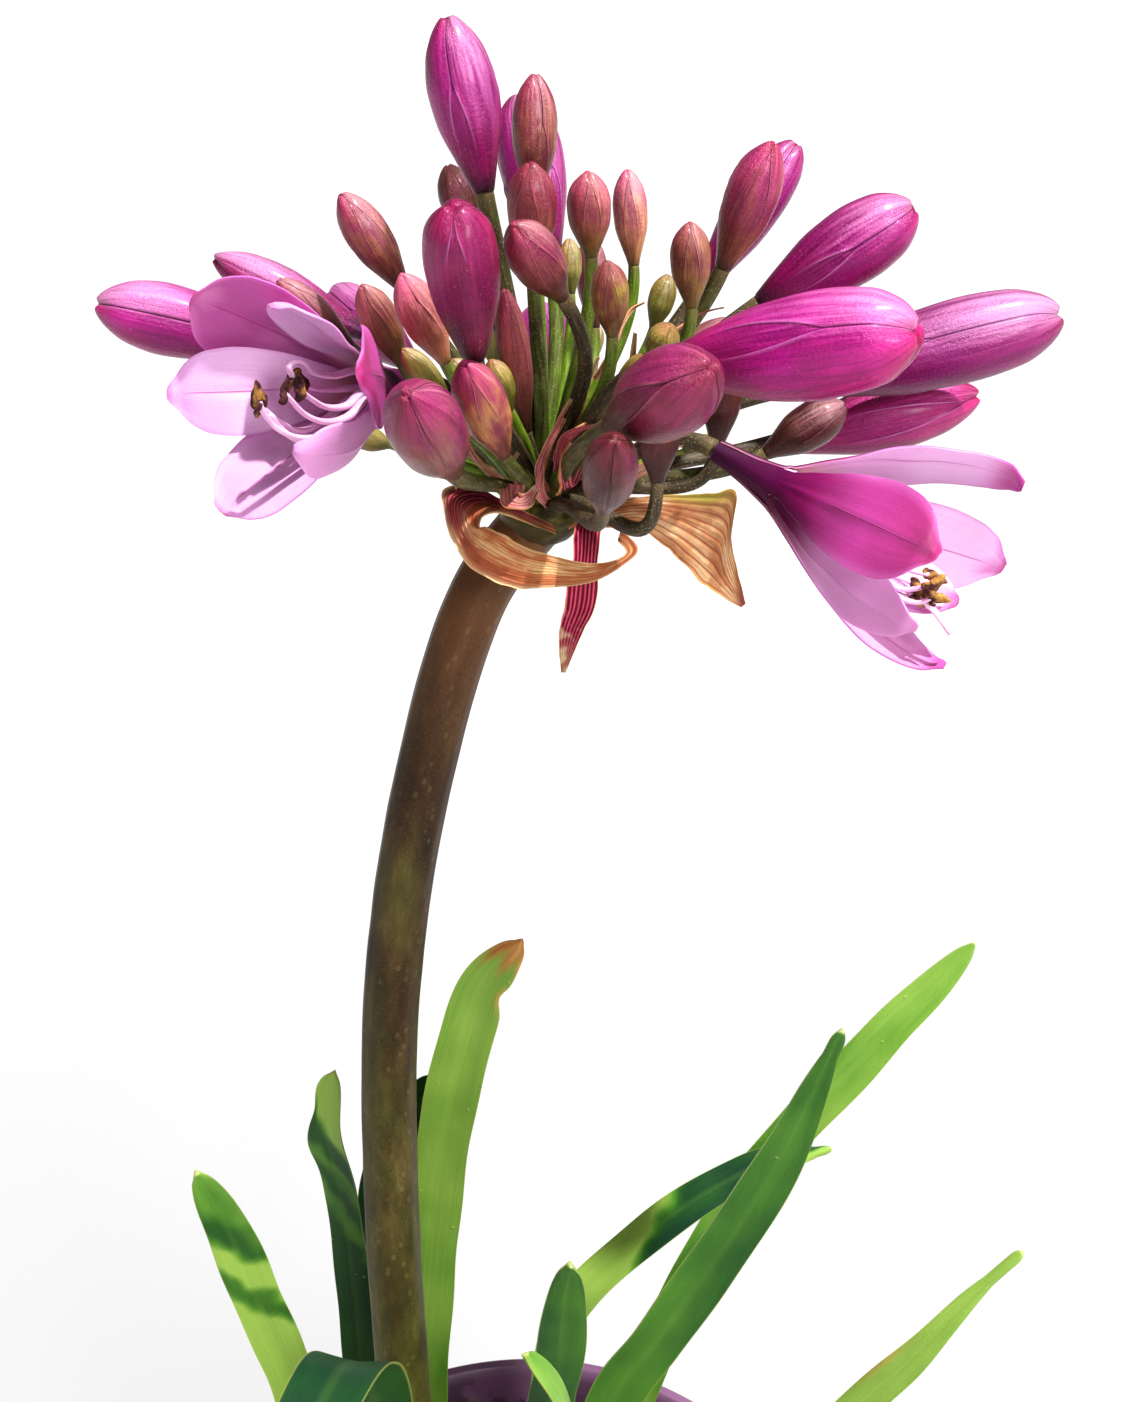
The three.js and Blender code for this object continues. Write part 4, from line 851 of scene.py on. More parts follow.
def bud_paint(name, body, golden, seam_colour, lip_colour, foot_colour, gloss, lip_share,
              low_blush=0.0, shine=WAXY):
    """Skin of a closed bud: colour runs along it, the petals' edges are pale lines over dark seams, the
    side turned from the sun has painted shade, and a painted highlight lies on the side facing between the
    sun and the front.
    """
    paint = Paint(name, Roughness=gloss, Subsurface_Weight=0.1, Subsurface_Radius=(0.9, 0.3, 0.5),
                  Subsurface_Scale=0.0012, Specular_IOR_Level=0.7, Specular_Tint=shine, Coat_Weight=0.22,
                  Coat_Roughness=0.24)
    streak = paint.streaks(60, 3.0, detail=4.0, roughness=0.62)
    cloud = paint.streaks(5, 2.4, detail=2.0)
    patch = paint.streaks(7, 2.6, detail=3.0)
    edge = paint.value("edge")
    opened = paint.value("opened")
    down = paint.value("down")
    colour = paint.ramp(paint.v + (cloud - 0.5) * 0.3, body)
    blush = paint.value("blush") + (cloud - 0.5) * 0.9
    blush = paint.math("MAXIMUM", blush, 0.0) * paint.span(paint.v, 0.1, 0.7, low_blush, 1.0)
    colour = paint.mix(paint.math("MINIMUM", blush, 1.0), colour, paint.ramp(paint.v, MAGENTA))
    spots = paint.span(patch, 0.36, 0.68) * paint.span(paint.v, 0.98, 0.65)
    colour = paint.mix(paint.value("gold") * spots * 0.85, colour, golden)
    light = paint.span(streak, 0.3, 0.72, 0.7, 1.32) * paint.span(patch, 0.32, 0.68, 0.8, 1.2)
    colour = paint.shaded(colour, light, 0.85)
    # Partly the bud's own tone and partly painted light and shade: each bud's skin is made lighter or
    # darker on its own.
    colour = paint.shaded(colour, paint.value("light"), 1.0)
    # Painted shade: the side of the bud turned away from the sun is darkened towards maroon.
    sunny = paint.value("sunny") + (cloud - 0.5) * 0.5
    colour = paint.mix(paint.span(sunny, 0.6, 0.08, 0.0, 0.9), colour, (0.56, 0.26, 0.28, 1.0), "MULTIPLY")
    # Painted highlight: a pale, streaked patch on the side that faces between the sun and the front.
    bloomy = paint.value("bloomy") + (streak - 0.5) * 0.4
    bloom = paint.span(bloomy, 0.76, 1.1) * paint.span(paint.v, 0.2, 0.75)
    colour = paint.mix(bloom * 0.7, colour, paler(lip_colour, 0.25))
    colour = paint.mix(paint.span(paint.v, 0.14, 0.0, 0.0, 0.9), colour, foot_colour)
    inside = paint.span(edge, 0.02, -0.1) * opened
    colour = paint.mix(inside * 0.12, colour, seam_colour)
    fades = paint.span(down, 0.85, 0.3) * paint.span(paint.v, 1.0, 0.9, 0.2, 1.0)
    lips = paint.span(edge, -0.005, 0.022) * paint.span(edge, 0.1, 0.03)
    lips = lips * (fades * (0.3 + opened * 0.7))
    colour = paint.mix(lips * lip_share, colour, lip_colour)
    gap = paint.span(abs(edge), 0.028, 0.006)
    gap = gap * (1.0 + opened * (fades * 0.35 - 1.0))
    colour = paint.mix(gap * 0.6, colour, seam_colour)
    dots = paint.specks(900.0, 0.13) * paint.span(paint.noise(190.0), 0.48, 0.6)
    colour = paint.mix(dots * 0.6, colour, lip_colour)
    wrinkle = paint.streaks(150, 46.0, detail=3.0, roughness=0.7)
    fine = paint.noise(1800.0, detail=3.0, roughness=0.7)
    height = streak * 0.5 + (wrinkle * 0.7 + fine * 1.1) + (lips - gap) * 1.2
    normal = paint.bump(height, 0.00022, 0.8)
    return paint.finish(colour, normal, paint.span(streak, 0.2, 0.8, gloss - 0.08, gloss + 0.07))


def stalk_paint():
    """Bud stalks: from olive-brown to bright green, tan under ripe buds, with fine pale speckles."""
    paint = Paint("stalk_skin", Roughness=0.46, Subsurface_Weight=0.06, Subsurface_Scale=0.001,
                  Specular_IOR_Level=0.22)
    streak = paint.streaks(16, 9.0, detail=4.0)
    dark = paint.ramp(streak, [(0.25, 0x2e261e), (0.6, 0x584c3a), (0.85, 0x84765e)])
    green = paint.ramp(streak, [(0.25, 0x465a14), (0.6, 0x769228), (0.85, 0xaab654)])
    greenness = paint.value("green") + (paint.noise(260.0) - 0.5) * 0.5
    colour = paint.mix(paint.span(greenness, 0.15, 0.85), dark, green)
    colour = paint.mix(paint.value("collar") * 0.6, colour, 0x7a6848)
    dots = paint.specks(1800.0, 0.28)
    colour = paint.mix(dots * 0.5, colour, 0xb0a682)
    height = streak * 0.6 + dots * 0.4
    return paint.finish(colour, paint.bump(height, 0.0002, 0.8))


def scape_paint():
    """Main stalk: dark brown, olive towards its foot, streaked lengthwise, with short pale marks."""
    paint = Paint("scape_skin", Roughness=0.44, Subsurface_Weight=0.05, Subsurface_Scale=0.001,
                  Specular_IOR_Level=0.22)
    streak = paint.streaks(10, 24.0, detail=5.0, roughness=0.6)
    cloud = paint.streaks(3.2, 9.0, detail=3.0)
    brown = paint.ramp(streak, [(0.25, 0x26180c), (0.55, 0x3e2a17), (0.8, 0x5a4228)])
    olive = paint.ramp(streak, [(0.25, 0x48481c), (0.55, 0x6e6c32), (0.8, 0x908c4c)])
    height_share = paint.v + (cloud - 0.5) * 0.8
    colour = paint.mix(paint.span(height_share, 0.85, 0.1), brown, olive)
    colour = paint.mix(paint.span(paint.v, 0.8, 1.0, 0.0, 0.5), colour, 0x8c5e3c)
    low = paint.span(paint.v, 0.08, 0.6, 1.0, 0.3)
    spots = paint.specks(1.0, 0.28, paint.stretched(16, 90.0)) * (low * paint.span(cloud, 0.38, 0.55))
    colour = paint.mix(spots * 0.4, colour, 0x9e8c60)
    flecks = paint.specks(1.0, 0.24, paint.stretched(44, 150.0)) * paint.span(paint.noise(120.0), 0.42, 0.6)
    colour = paint.mix(flecks * 0.5, colour, 0x22160e)
    dots = paint.specks(1900.0, 0.22)
    colour = paint.mix(dots * 0.3, colour, 0x96805a)
    height = streak * 0.5 + (spots + dots * 0.25)
    return paint.finish(colour, paint.bump(height, 0.00026, 0.7))


def tepal_paint(name, light_stops):
    """Petals: pale lilac inside with a magenta midrib, deeper magenta outside."""
    paint = Paint(name, Roughness=0.48, Subsurface_Weight=0.35, Subsurface_Radius=(1.0, 0.4, 0.85),
                  Subsurface_Scale=0.0014, Specular_IOR_Level=0.22)
    middle = abs(paint.u - 0.5)
    vein = paint.streaks(44, 2.2, detail=4.0, roughness=0.6)
    cloud = paint.streaks(3, 2.5, detail=3.0)
    place = paint.v + (cloud - 0.5) * 0.3
    light_inner = paint.ramp(place, [(0.0, 0x9c8042), (0.2, 0xbe968c)] + light_stops)
    # The deep inner colour is partly the tepal's own colour and partly painted shade.
    shaded_deep_inner = paint.ramp(place, [(0.0, 0x8c6e3c), (0.22, 0xc48ca0), (0.42, 0xc87cb4),
                                    (0.66, 0xa83e88), (0.9, 0xaa428a), (1.0, 0xc878aa)])
    inner = paint.mix(paint.value("deep"), light_inner, shaded_deep_inner)
    outer = paint.ramp(place, [(0.0, 0x3e0a32), (0.2, 0x580a42), (0.42, 0x82145c), (0.7, 0xb2308a),
                               (0.9, 0xa82274), (1.0, 0x8c1454)])
    rib_width = paint.span(paint.v, 0.3, 0.95, 0.022, 0.012)
    midrib = paint.math("SUBTRACT", 1.0, paint.math("DIVIDE", middle, rib_width), clamp=True)
    midrib = midrib * (paint.span(paint.v, 0.97, 0.88) * paint.span(paint.v, 0.4, 0.62))
    inner = paint.mix(midrib * 0.75, inner, 0xb02c88)
    side_ribs = paint.span(vein, 0.6, 0.7) * paint.span(middle, 0.34, 0.1)
    inner = paint.mix(side_ribs * 0.07, inner, 0xb44c9c)
    inner = paint.mix(paint.span(middle, 0.45, 0.5) * 0.4, inner, 0xc470b6)
    outer_rib = paint.span(middle, 0.1, 0.0) * paint.span(paint.v, 0.3, 0.8, 0.3, 1.0)
    outer = paint.mix(outer_rib * 0.55, outer, 0x760854)
    beyond_tube = paint.span(paint.v, 0.34, 0.6)
    pale = paint.span(middle, 0.36, 0.5) * beyond_tube
    outer = paint.mix(pale * 0.4, outer, 0xcc78ba)
    outer = paint.mix(paint.value("paler") * beyond_tube, outer, 0xdea0d2)
    colour = paint.mix(paint.value("side"), inner, outer)
    colour = paint.shaded(colour, paint.span(vein, 0.3, 0.7, 0.95, 1.05), 0.85)
    colour = paint.mix(paint.value("knob") * 0.8, colour, 0xaa2870)
    colour = paint.mix(paint.value("flush") * 0.75, colour, 0xb24090)
    wrinkle = paint.streaks(90, 40.0, detail=3.0, roughness=0.65)
    fine = paint.noise(1700.0, detail=2.0)
    height = vein * 0.4 - midrib * 0.8 + (fine + wrinkle) * 0.3
    return paint.finish(colour, paint.bump(height, 0.00016, 0.7))


def thread_paint():
    """Stamens, style and the lining of the tube: pale lilac with a fine grain."""
    paint = Paint("stamen_thread", Roughness=0.42, Subsurface_Weight=0.3, Subsurface_Scale=0.001,
                  Specular_IOR_Level=0.3)
    grain = paint.noise(300.0, detail=4.0)
    colour = paint.ramp(grain, [(0.3, 0xdeacd0), (0.7, 0xeecae6)])
    return paint.finish(colour, paint.bump(grain, 0.0001, 0.5))


def anther_paint():
    """Curled pollen sacs: dark violet-brown, dusted with golden pollen."""
    paint = Paint("anther", Roughness=0.75, Specular_IOR_Level=0.2)
    grain = paint.noise(1100.0, detail=4.0)
    dusting = paint.noise(420.0, detail=3.0)
    colour = paint.ramp(grain, [(0.3, 0x2c1420), (0.7, 0x603a32)])
    pollen = paint.ramp(grain, [(0.3, 0x885c2c), (0.7, 0xcca054)])
    golden = paint.value("gold") + (dusting - 0.5) * 1.7
    colour = paint.mix(paint.span(golden, 0.3, 0.7), colour, pollen)
    return paint.finish(colour, paint.bump(grain, 0.0004, 0.8))


def bract_paint(name, tans, reds, vein_colour, vein_count):
    """Dried bract: papery, ribbed lengthwise with darker veins, red where it is fresh."""
    paint = Paint(name, Roughness=0.5, Subsurface_Weight=0.15, Subsurface_Radius=(1.0, 0.5, 0.25),
                  Subsurface_Scale=0.001, Specular_IOR_Level=0.25)
    middle = abs(paint.u - 0.5)
    drift = (paint.streaks(4, 3.0, detail=2.0) - 0.5) * 0.09
    ribs = paint.math("SINE", (paint.u + drift) * (2 * math.pi * vein_count))
    fine = paint.streaks(110, 2.5, detail=3.0, roughness=0.6)
    cloud = paint.streaks(2.4, 5.0, detail=4.0)
    tan = paint.ramp(cloud, zip((0.36, 0.5, 0.58), tans))
    tan = paint.mix(paint.span(ribs, 0.55, 0.98) * 0.7, tan, vein_colour)
    red = paint.ramp(ribs * 0.5 + 0.5, zip((0.2, 0.55, 0.95), reds))
    colour = paint.mix(paint.value("fresh"), tan, red)
    colour = paint.shaded(colour, paint.span(fine, 0.3, 0.7, 0.8, 1.16), 0.8)
    colour = paint.mix(paint.span(middle, 0.465, 0.495) * 0.8, colour, 0xd8a054)
    colour = paint.mix(paint.value("torn") * 0.8, colour, 0xe8cea4)
    colour = paint.mix(paint.value("yellow") * 0.75, colour, 0xb0ac42)
    crumple = paint.noise(900.0, detail=3.0)
    height = ribs * 0.2 + fine * 0.5 + (cloud * 0.4 + crumple * 0.5)
    return paint.finish(colour, paint.bump(height, 0.00045, 0.9))


def leaf_paint():
    """Strap leaf: parallel veins, a shallow channel, thin pale margins, and a dry tip."""
    paint = Paint("leaf_skin", Roughness=0.36, Subsurface_Weight=0.2, Subsurface_Radius=(0.5, 1.0, 0.15),
                  Subsurface_Scale=0.001, Specular_IOR_Level=0.24)
    middle = abs(paint.u - 0.5)
    vein = paint.streaks(36, 3.0, detail=4.0, roughness=0.6)
    cloud = paint.streaks(2.0, 6.0, detail=3.0)
    # Low tone gives the dark blue-green of the painted shadows and shade on leaves.
    tone = paint.value("tone") + (cloud - 0.5) * 0.35
    colour = paint.ramp(tone, [(0.0, 0x1a3c28), (0.3, 0x2e5c22), (0.6, 0x56862e), (1.0, 0x94b252)])
    colour = paint.shaded(colour, paint.span(vein, 0.28, 0.72, 0.93, 1.07), 0.85)
    channel = paint.span(middle, 0.0, 0.12, 1.0, 0.0)
    colour = paint.mix(channel * 0.07, colour, 0x8cb050)
    margin = paint.span(middle, 0.475, 0.5)
    colour = paint.mix(margin * 0.5, colour, 0xa8a85a)
    foot = paint.span(paint.v, 0.3, 0.1, 0.0, 0.5)
    colour = paint.mix(foot, colour, 0x8c9e54)
    tip = paint.span(paint.v, 0.985, 1.0, 0.0, 0.6)
    colour = paint.mix(tip, colour, 0xc4be80)
    tan = paint.ramp(cloud, [(0.3, 0x8c4e22), (0.7, 0xd6a462)])
    colour = paint.mix(paint.value("dry"), colour, tan)
    blister = paint.specks(260.0, 0.14) * paint.span(paint.noise(70.0), 0.5, 0.58)
    colour = paint.mix(blister * 0.35, colour, 0xa0b06a)
    return paint.finish(colour, paint.bump(vein * 0.7 + blister, 0.00018, 0.6))


def pot_paint():
    """Mauve moulded plastic, a little dusty, with soil smears and painted shadow on its inner wall between
    the rim and the soil.
    """
    paint = Paint("pot_plastic", Roughness=0.42, Specular_IOR_Level=0.45)
    cloud = paint.noise(38.0, detail=4.0)
    colour = paint.ramp(cloud, [(0.3, 0x684864), (0.7, 0x7e5a78)])
    dust = paint.span(paint.noise(90.0, detail=6.0), 0.54, 0.7) * 0.35
    colour = paint.mix(dust, colour, 0x78685c)
    # Partly soil smears and partly painted shadow: near-black patches on the inner wall.
    soiled = paint.value("soiled") * paint.span(paint.noise(60.0, detail=4.0), 0.44, 0.5)
    colour = paint.mix(soiled, colour, 0x1a1416)
    grain = paint.noise(1400.0, detail=2.0)
    scuff = paint.noise(60.0, detail=5.0)
    return paint.finish(colour, paint.bump(grain, 0.00005, 0.5), paint.span(scuff, 0.3, 0.7, 0.34, 0.56))


def soil_paint():
    """Damp potting mix: dark peat with lighter bark and a few pale grains."""
    paint = Paint("potting_mix", Roughness=0.95, Specular_IOR_Level=0.2)
    grain = paint.noise(420.0, detail=6.0)
    colour = paint.ramp(grain, [(0.3, 0x1a120d), (0.55, 0x3e2d21), (0.75, 0x6e543a)])
    colour = paint.mix(paint.value("pale"), colour, 0xd0c8b8)
    return paint.finish(colour, paint.bump(grain, 0.0008, 0.8))


def floor_paint():
    """Pale matt floor, a little lighter away from the plant."""
    paint = Paint("pale_floor", Roughness=0.9, Specular_IOR_Level=0.1)
    away = paint.node("VectorMath", "Value", {"operation": "LENGTH"}, Vector=paint.where)
    place = paint.span(away, 0.25, 1.2) + paint.noise(3.0, detail=2.0) * 0.05
    colour = paint.ramp(place, [(0.0, (0.43, 0.43, 0.43, 1)), (1.0, (0.56, 0.56, 0.56, 1))])
    return paint.finish(colour)


# ---------------------------------------------------------------- buds

def measured_bud(node):
    """Foot, axis, length and radius of a bud, read from its CAD node."""
    points = np.array([v.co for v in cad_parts[node].data.vertices], float) / MM
    middle = points.mean(axis=0)
    _, _, lines = np.linalg.svd(points - middle)
    line = lines[0]
    places = (points - middle) @ line
    low, high = points[np.argmin(places)], points[np.argmax(places)]
    off_line = np.linalg.norm(points - middle - np.outer(places, line), axis=1)
    near_low = off_line[places < places.min() + 0.02 * np.ptp(places)].max()
    near_high = off_line[places > places.max() - 0.02 * np.ptp(places)].max()
    start, tip = (low, high) if near_low > near_high else (high, low)
    axis = unit(tip - start)
    foot = start - axis * GAP
    return foot, axis, float(np.linalg.norm(tip - foot)), float(off_line.max())


def add_bud(skin, foot, axis, length, radius, outline, seam, seed, rows, sectors, fading=1.0,
            bloom=1.0, light=1.0):
    """Adds a closed bud of three petals. Each seam parts below the tip round a strip of an inner petal."""
    turn, parts_at, strip_half, blush, gold, point = seam
    view = square_to(axis, FRONT - (foot + axis * length / 2))
    lean = math.radians(turn)
    across = view * math.cos(lean) + np.cross(axis, view) * math.sin(lean)
    other = np.cross(axis, across)
    share = 1 - (1 - np.linspace(0, 1, rows)) ** 1.3
    warp = np.linspace(-1, 1, sectors, endpoint=False)
    from_seam = 60 * (0.5 * warp + 0.5 * warp ** 3)
    angle = np.radians(np.concatenate([from_seam, from_seam + 120, from_seam + 240]))
    signed = np.tile(from_seam, 3)[None]
    apart = np.abs(signed)
    s = share[:, None]
    below = np.clip((parts_at - s) / max(parts_at - 0.1, 0.05), 0, 1)
    strip = strip_half * (1 - (1 - below) ** 2.2)
    edge = apart - strip
    faded = smooth(0.02, 0.16, s)
    tip = smooth(0.86, 0.985, s)
    opened = smooth(0, 0.15, below)
    valley = 0.05 * near(apart, 0, 17) * (1 - opened)
    groove = (0.04 + 0.03 * tip) * near(apart, 0, 2.6) * (1 - opened)
    sunk = 0.026 * smooth(1.6, -1.6, edge) * opened * smooth(1.0, 0.5, below)
    lip = 0.016 * near(edge, 3.2, 3.2) * smooth(1.0, 0.5, below)
    lap = 0.014 * np.sign(signed) * (1 - apart / 60) * (1 - opened)
    pinch = 0.12 * tip * near(apart, 0, 20)
    rib = 0.01 * near(apart, 60, 8) * smooth(0.1, 0.3, s)
    shape = 1 - (valley + groove + sunk - lip - lap) * faded - pinch + rib
    radii = radius * ((1 - point) * through(outline, s) + point * through(POINTED, s)) * shape
    bend = 0.35 * math.sin(seed * 5.1) * s ** 2 * (1 - 0.3 * s)
    spoke = across * np.cos(angle)[:, None] + other * np.sin(angle)[:, None]
    reach = BUD_START + s * (length - BUD_START) - 0.018 * length * tip * near(apart, 0, 24)
    reach = reach - 0.02 * length * smooth(0.985, 1, s)
    points = foot + axis * reach[..., None] + spoke[None] * radii[..., None] + across * bend[..., None]
    # Painted shade: how far the skin faces the sun decides how dark its far side is painted.
    outward = spoke[None] + 0.25 * axis * smooth(0.5, 1.0, s)[..., None]
    # Painted highlight: the marks give how far the skin faces the way of its pale patch.
    marks = {"edge": edge / 60, "opened": opened, "down": below * fading, "seed": seed, "blush": blush,
             "gold": gold, "sunny": 0.5 + 0.5 * outward @ SUNWARD,
             "bloomy": (0.5 + 0.5 * outward @ PAINTED_HIGHLIGHT_WAY) * bloom, "light": light}
    skin.grid(points, wrap=True, uv=(np.linspace(0, 1, 3 * sectors + 1), share), caps=True, **marks)


def make_bud(bud_name, tone, paint, seed):
    """Puts a finer bud in the place of a CAD one, and says where its stalk arrives."""
    node = f"bud_{bud_name}"
    foot, axis, length, radius = measured_bud(node)
    skin = Skin()
    add_bud(skin, foot, axis, length, radius, CLUB if tone == "ripe" else EGG,
            SEAM.get(bud_name, USUAL_SEAM[tone]), seed, BUD_ROWS, BUD_SECTORS,
            fading=SHORT_SEAM.get(bud_name, 1.0), bloom=FAINT_PAINTED_HIGHLIGHT if bud_name in NO_PAINTED_HIGHLIGHT else 1.0,
            light=OWN_TONE_AND_PAINTED_LIGHT.get(bud_name, 1.0))
    show(f"{node}_petals", skin, paint, f"bud_{tone}", node)
    return foot, axis, radius


# ---------------------------------------------------------------- stalks

def stalk_line(foot, axis, swing, count):
    """Line of a bud stalk: it leaves the hub a little upwards and arrives along its bud's axis."""
    reach = np.linalg.norm(foot - HUB)
    outward = unit(foot - HUB)
    first = unit(outward + PEDICEL_LIFT_SHARE * np.array(PEDICEL_LIFT))
    start = HUB + outward * 0.7 * HEAD_RADIUS
    fine = bezier(start, start + first * 0.35 * reach, foot - axis * swing * reach, foot)
    return evenly(fine, np.linspace(0, 1, count))


def add_stalk(skin, foot, axis, swing, foot_radius, green, seed):
    """Ribbed stalk from the hub to a bud or flower. It widens under the bud to `foot_radius`."""
    rows, sides = STALK_GRID
    centres = stalk_line(foot, axis, swing, rows)
    share = np.linspace(0, 1, rows)
    angle = turns(sides)
    middle = 0.86 * PEDICEL_RADIUS
    radii = middle + (foot_radius * 0.96 - middle) * share ** 4 + 0.5 * near(share, 0.0, 0.12)
    ribbed = radii[:, None] * (1 + 0.035 * np.cos(5 * angle + seed)[None] * (1 - share[:, None] ** 3))
    wobble = 1 + 0.04 * np.sin(9 * share + seed * 3)[:, None]
    greens = green + 0.35 * smooth(0.5, 0.05, share) * green
    collar = smooth(0.9, 1.0, share)
    skin.grid(tube(centres, ribbed * wobble, sides), wrap=True, caps=True, seed=seed,
              green=greens[:, None], collar=collar[:, None])


# ---------------------------------------------------------------- scape, head and bracteoles

def make_scape(paint):
    """The main stalk, and the knobbly head that the bud stalks grow from."""
    rows, sides = SCAPE_GRID
    share = np.linspace(0, 1, rows)
    centres = along_spline(SCAPE_ROUTE, share)
    angle = turns(sides)
    radii = SCAPE_TOP_RADIUS + (SCAPE_FOOT_RADIUS - SCAPE_TOP_RADIUS) * (1 - share) ** 2
    ridges = 0.012 * np.cos(7 * angle)[None] + 0.008 * np.cos(12 * angle + 1)[None]
    points = tube(centres, radii[:, None] * (1 + ridges), sides, first=(1, 0, 0))
    swell = lumps(points, 9.0, 3.0)
    points += unit(points - centres[:, None]) * (0.12 * swell)[..., None]
    skin = Skin()
    skin.grid(points, wrap=True, caps=True, seed=1.7)
    show("scape_stem", skin, paint, "scape", "scape")

    head = Skin()
    rows, sides = HEAD_GRID
    polar = np.linspace(0.02, np.pi - 0.02, rows)[:, None]
    spokes = rings(np.sin(polar), HEAD_FLATNESS * np.cos(polar), turns(sides)[None])
    knobbly = 1 + 0.05 * lumps(spokes * 10, 3.0, 5.0)
    head.grid(HUB + spokes * HEAD_RADIUS * knobbly[..., None], wrap=True, flip=True, caps=True, seed=0.4)
    show("scape_head", head, paint, "scape", "scape")


def make_bracteoles(paint):
    """All dried ribbons, as one piece: twisted, cupped strips that narrow towards their tips."""
    skin = Skin()
    rows, columns = RIBBON_GRID
    share = np.linspace(0, 1, rows)
    u = np.linspace(-1, 1, columns)
    for i, (route, width, redness) in enumerate(BRACTEOLES):
        centres = along_spline(np.array(route) + HUB, share)
        along = tangents_of(centres)
        twist = 0.5 * np.sin(3 * share + i)
        up = square_to(along, (0.2, -1, 0.3))
        across = np.cross(along, up)
        across, up = (across * np.cos(twist)[:, None] + up * np.sin(twist)[:, None],
                      up * np.cos(twist)[:, None] - across * np.sin(twist)[:, None])
        wide = width * (1.05 - 0.8 * share) * (1 + 0.12 * np.sin(21 * share + i))
        rise = 0.35 * u[None] ** 2 + 0.12 * np.cos(9 * u[None] + 5 * share[:, None])
        middle = centres[:, None] + across[:, None] * (u[None] * wide[:, None] / 2)[..., None]
        middle = middle + up[:, None] * rise[..., None]
        half = up[:, None] * 0.22
        torn = smooth(0.8, 1.0, share)[:, None] * 0.7
        skin.sheet(middle + half, middle - half, seed=i * 2.3, fresh=redness, torn=torn)
    show("bracteoles", skin, paint, "scape", "scape", sharp=50)


# ---------------------------------------------------------------- open flowers

def flower_place(shape):
    """Foot and axis of a flower, and the two directions across it: up and to its side."""
    bearing, rise, length = shape["stalk"]
    foot = HUB + direction(bearing, rise) * length
    axis = direction(*shape["axis"])
    up = square_to(axis, (0, 0, 1))
    return foot, axis, up, np.cross(axis, up)


def spoke_at(place, angle):
    """Direction away from a flower's axis, at an angle in degrees from up towards its side."""
    _, _, up, side = place
    turn = math.radians(angle)
    return up * math.cos(turn) + side * math.sin(turn)


def tube_radius(distance):
    """Outer radius of a flower's tube at a distance from its foot."""
    outline = [(0, TUBE_FOOT_RADIUS), (0.35 * TUBE_LENGTH, 1.35 * TUBE_FOOT_RADIUS),
               (0.75 * TUBE_LENGTH, 0.8 * TUBE_THROAT_RADIUS), (TUBE_LENGTH, TUBE_THROAT_RADIUS)]
    return through(outline, distance)


def add_tepal(skin, place, row, ring, seed):
    """One petal, from the foot of the tube to its tip."""
    foot, axis, _, _ = place
    angle, length, width, throat_lean, tip_lean, deep, pale_back, lift, flush_start = row
    spoke = spoke_at(place, angle)
    across = np.cross(axis, spoke)
    begin = TUBE_LENGTH - 2.5
    ring_radius = TEPAL_RING_RADII[ring]
    share = np.linspace(0, 1, TEPAL_ROWS)
    lean = np.radians(throat_lean + (tip_lean - throat_lean) * share ** 1.6)
    step = length / (len(share) - 1)
    reach = begin + np.concatenate([[0], np.cumsum(np.cos(lean[:-1]))]) * step
    out = ring_radius + np.concatenate([[0], np.cumsum(np.sin(lean[:-1]))]) * step
    low = np.linspace(0.6, begin, TUBE_ROWS)[:-1]
    sunk = (tube_radius(begin) - ring_radius) * smooth(2.0, begin, low)
    reach = np.concatenate([low, reach])
    out = np.concatenate([tube_radius(low) - 0.1 - sunk, out])
    free = np.concatenate([np.zeros(len(low)), share])
    wide_low = 2 * np.pi * tube_radius(low) / 6 * 1.2
    wide = np.concatenate([wide_low, width * through(TEPAL_OUTLINE, share)])
    join = smooth(0.0, 0.16, free)
    wide = np.where(free > 0, wide * join + wide_low[-1] * (1 - join), wide)
    cup_low = (wide_low / 2) ** 2 / (2 * tube_radius(low))
    cup = np.concatenate([cup_low, through(TEPAL_CUP, share)])
    cup = np.where(free > 0, cup * join + cup_low[-1] * (1 - join), cup)
    centres = foot + np.outer(reach, axis) + np.outer(out, spoke)
    for _ in range(6):
        centres[1:-1] = (centres[:-2] + 2 * centres[1:-1] + centres[2:]) / 4
    along = tangents_of(centres)
    up = -square_to(along, spoke)
    u = np.linspace(-1, 1, TEPAL_COLUMNS)[None]
    f = free[:, None]
    flutter = 0.42 * min(1, (length / 30) ** 4)
    wave = flutter * smooth(0.2, 0.75, f) * np.sin(11 * f + 4 * seed + 1.4 * np.sign(u)) * np.abs(u) ** 3
    fold = -0.3 * near(u, 0, 0.13) * smooth(0.02, 0.2, f) * smooth(1.0, 0.6, f)
    hook = 0.9 * smooth(0.93, 1.0, f)
    level = cup[:, None] * u ** 2 + wave + fold + hook + lift * smooth(0.1, 0.5, f)
    middle = centres[:, None] + across * (u * wide[:, None] / 2)[..., None]
    level = level + 0.7 * lumps(middle, 8.0, seed) * smooth(0.1, 0.5, f) * smooth(1.0, 0.85, f)
    middle = middle + up[:, None] * level[..., None]
    thick = (0.3 - 0.13 * np.abs(u) ** 3) * (1 + 0.9 * near(f, 0.985, 0.02) * near(u, 0, 0.6))
    half = up[:, None] * thick[..., None]
    knob = (1 - pale_back) * smooth(0.965, 0.995, f) * np.ones_like(u)
    flush = smooth(flush_start, flush_start + 0.14, f) * np.ones_like(u)
    total = np.concatenate([low / begin * 0.2, 0.2 + 0.8 * share])
    skin.sheet(middle + half, middle - half, v=total, closed_root=False, seed=seed, knob=knob,
               flush=flush, deep=deep, paler=pale_back)


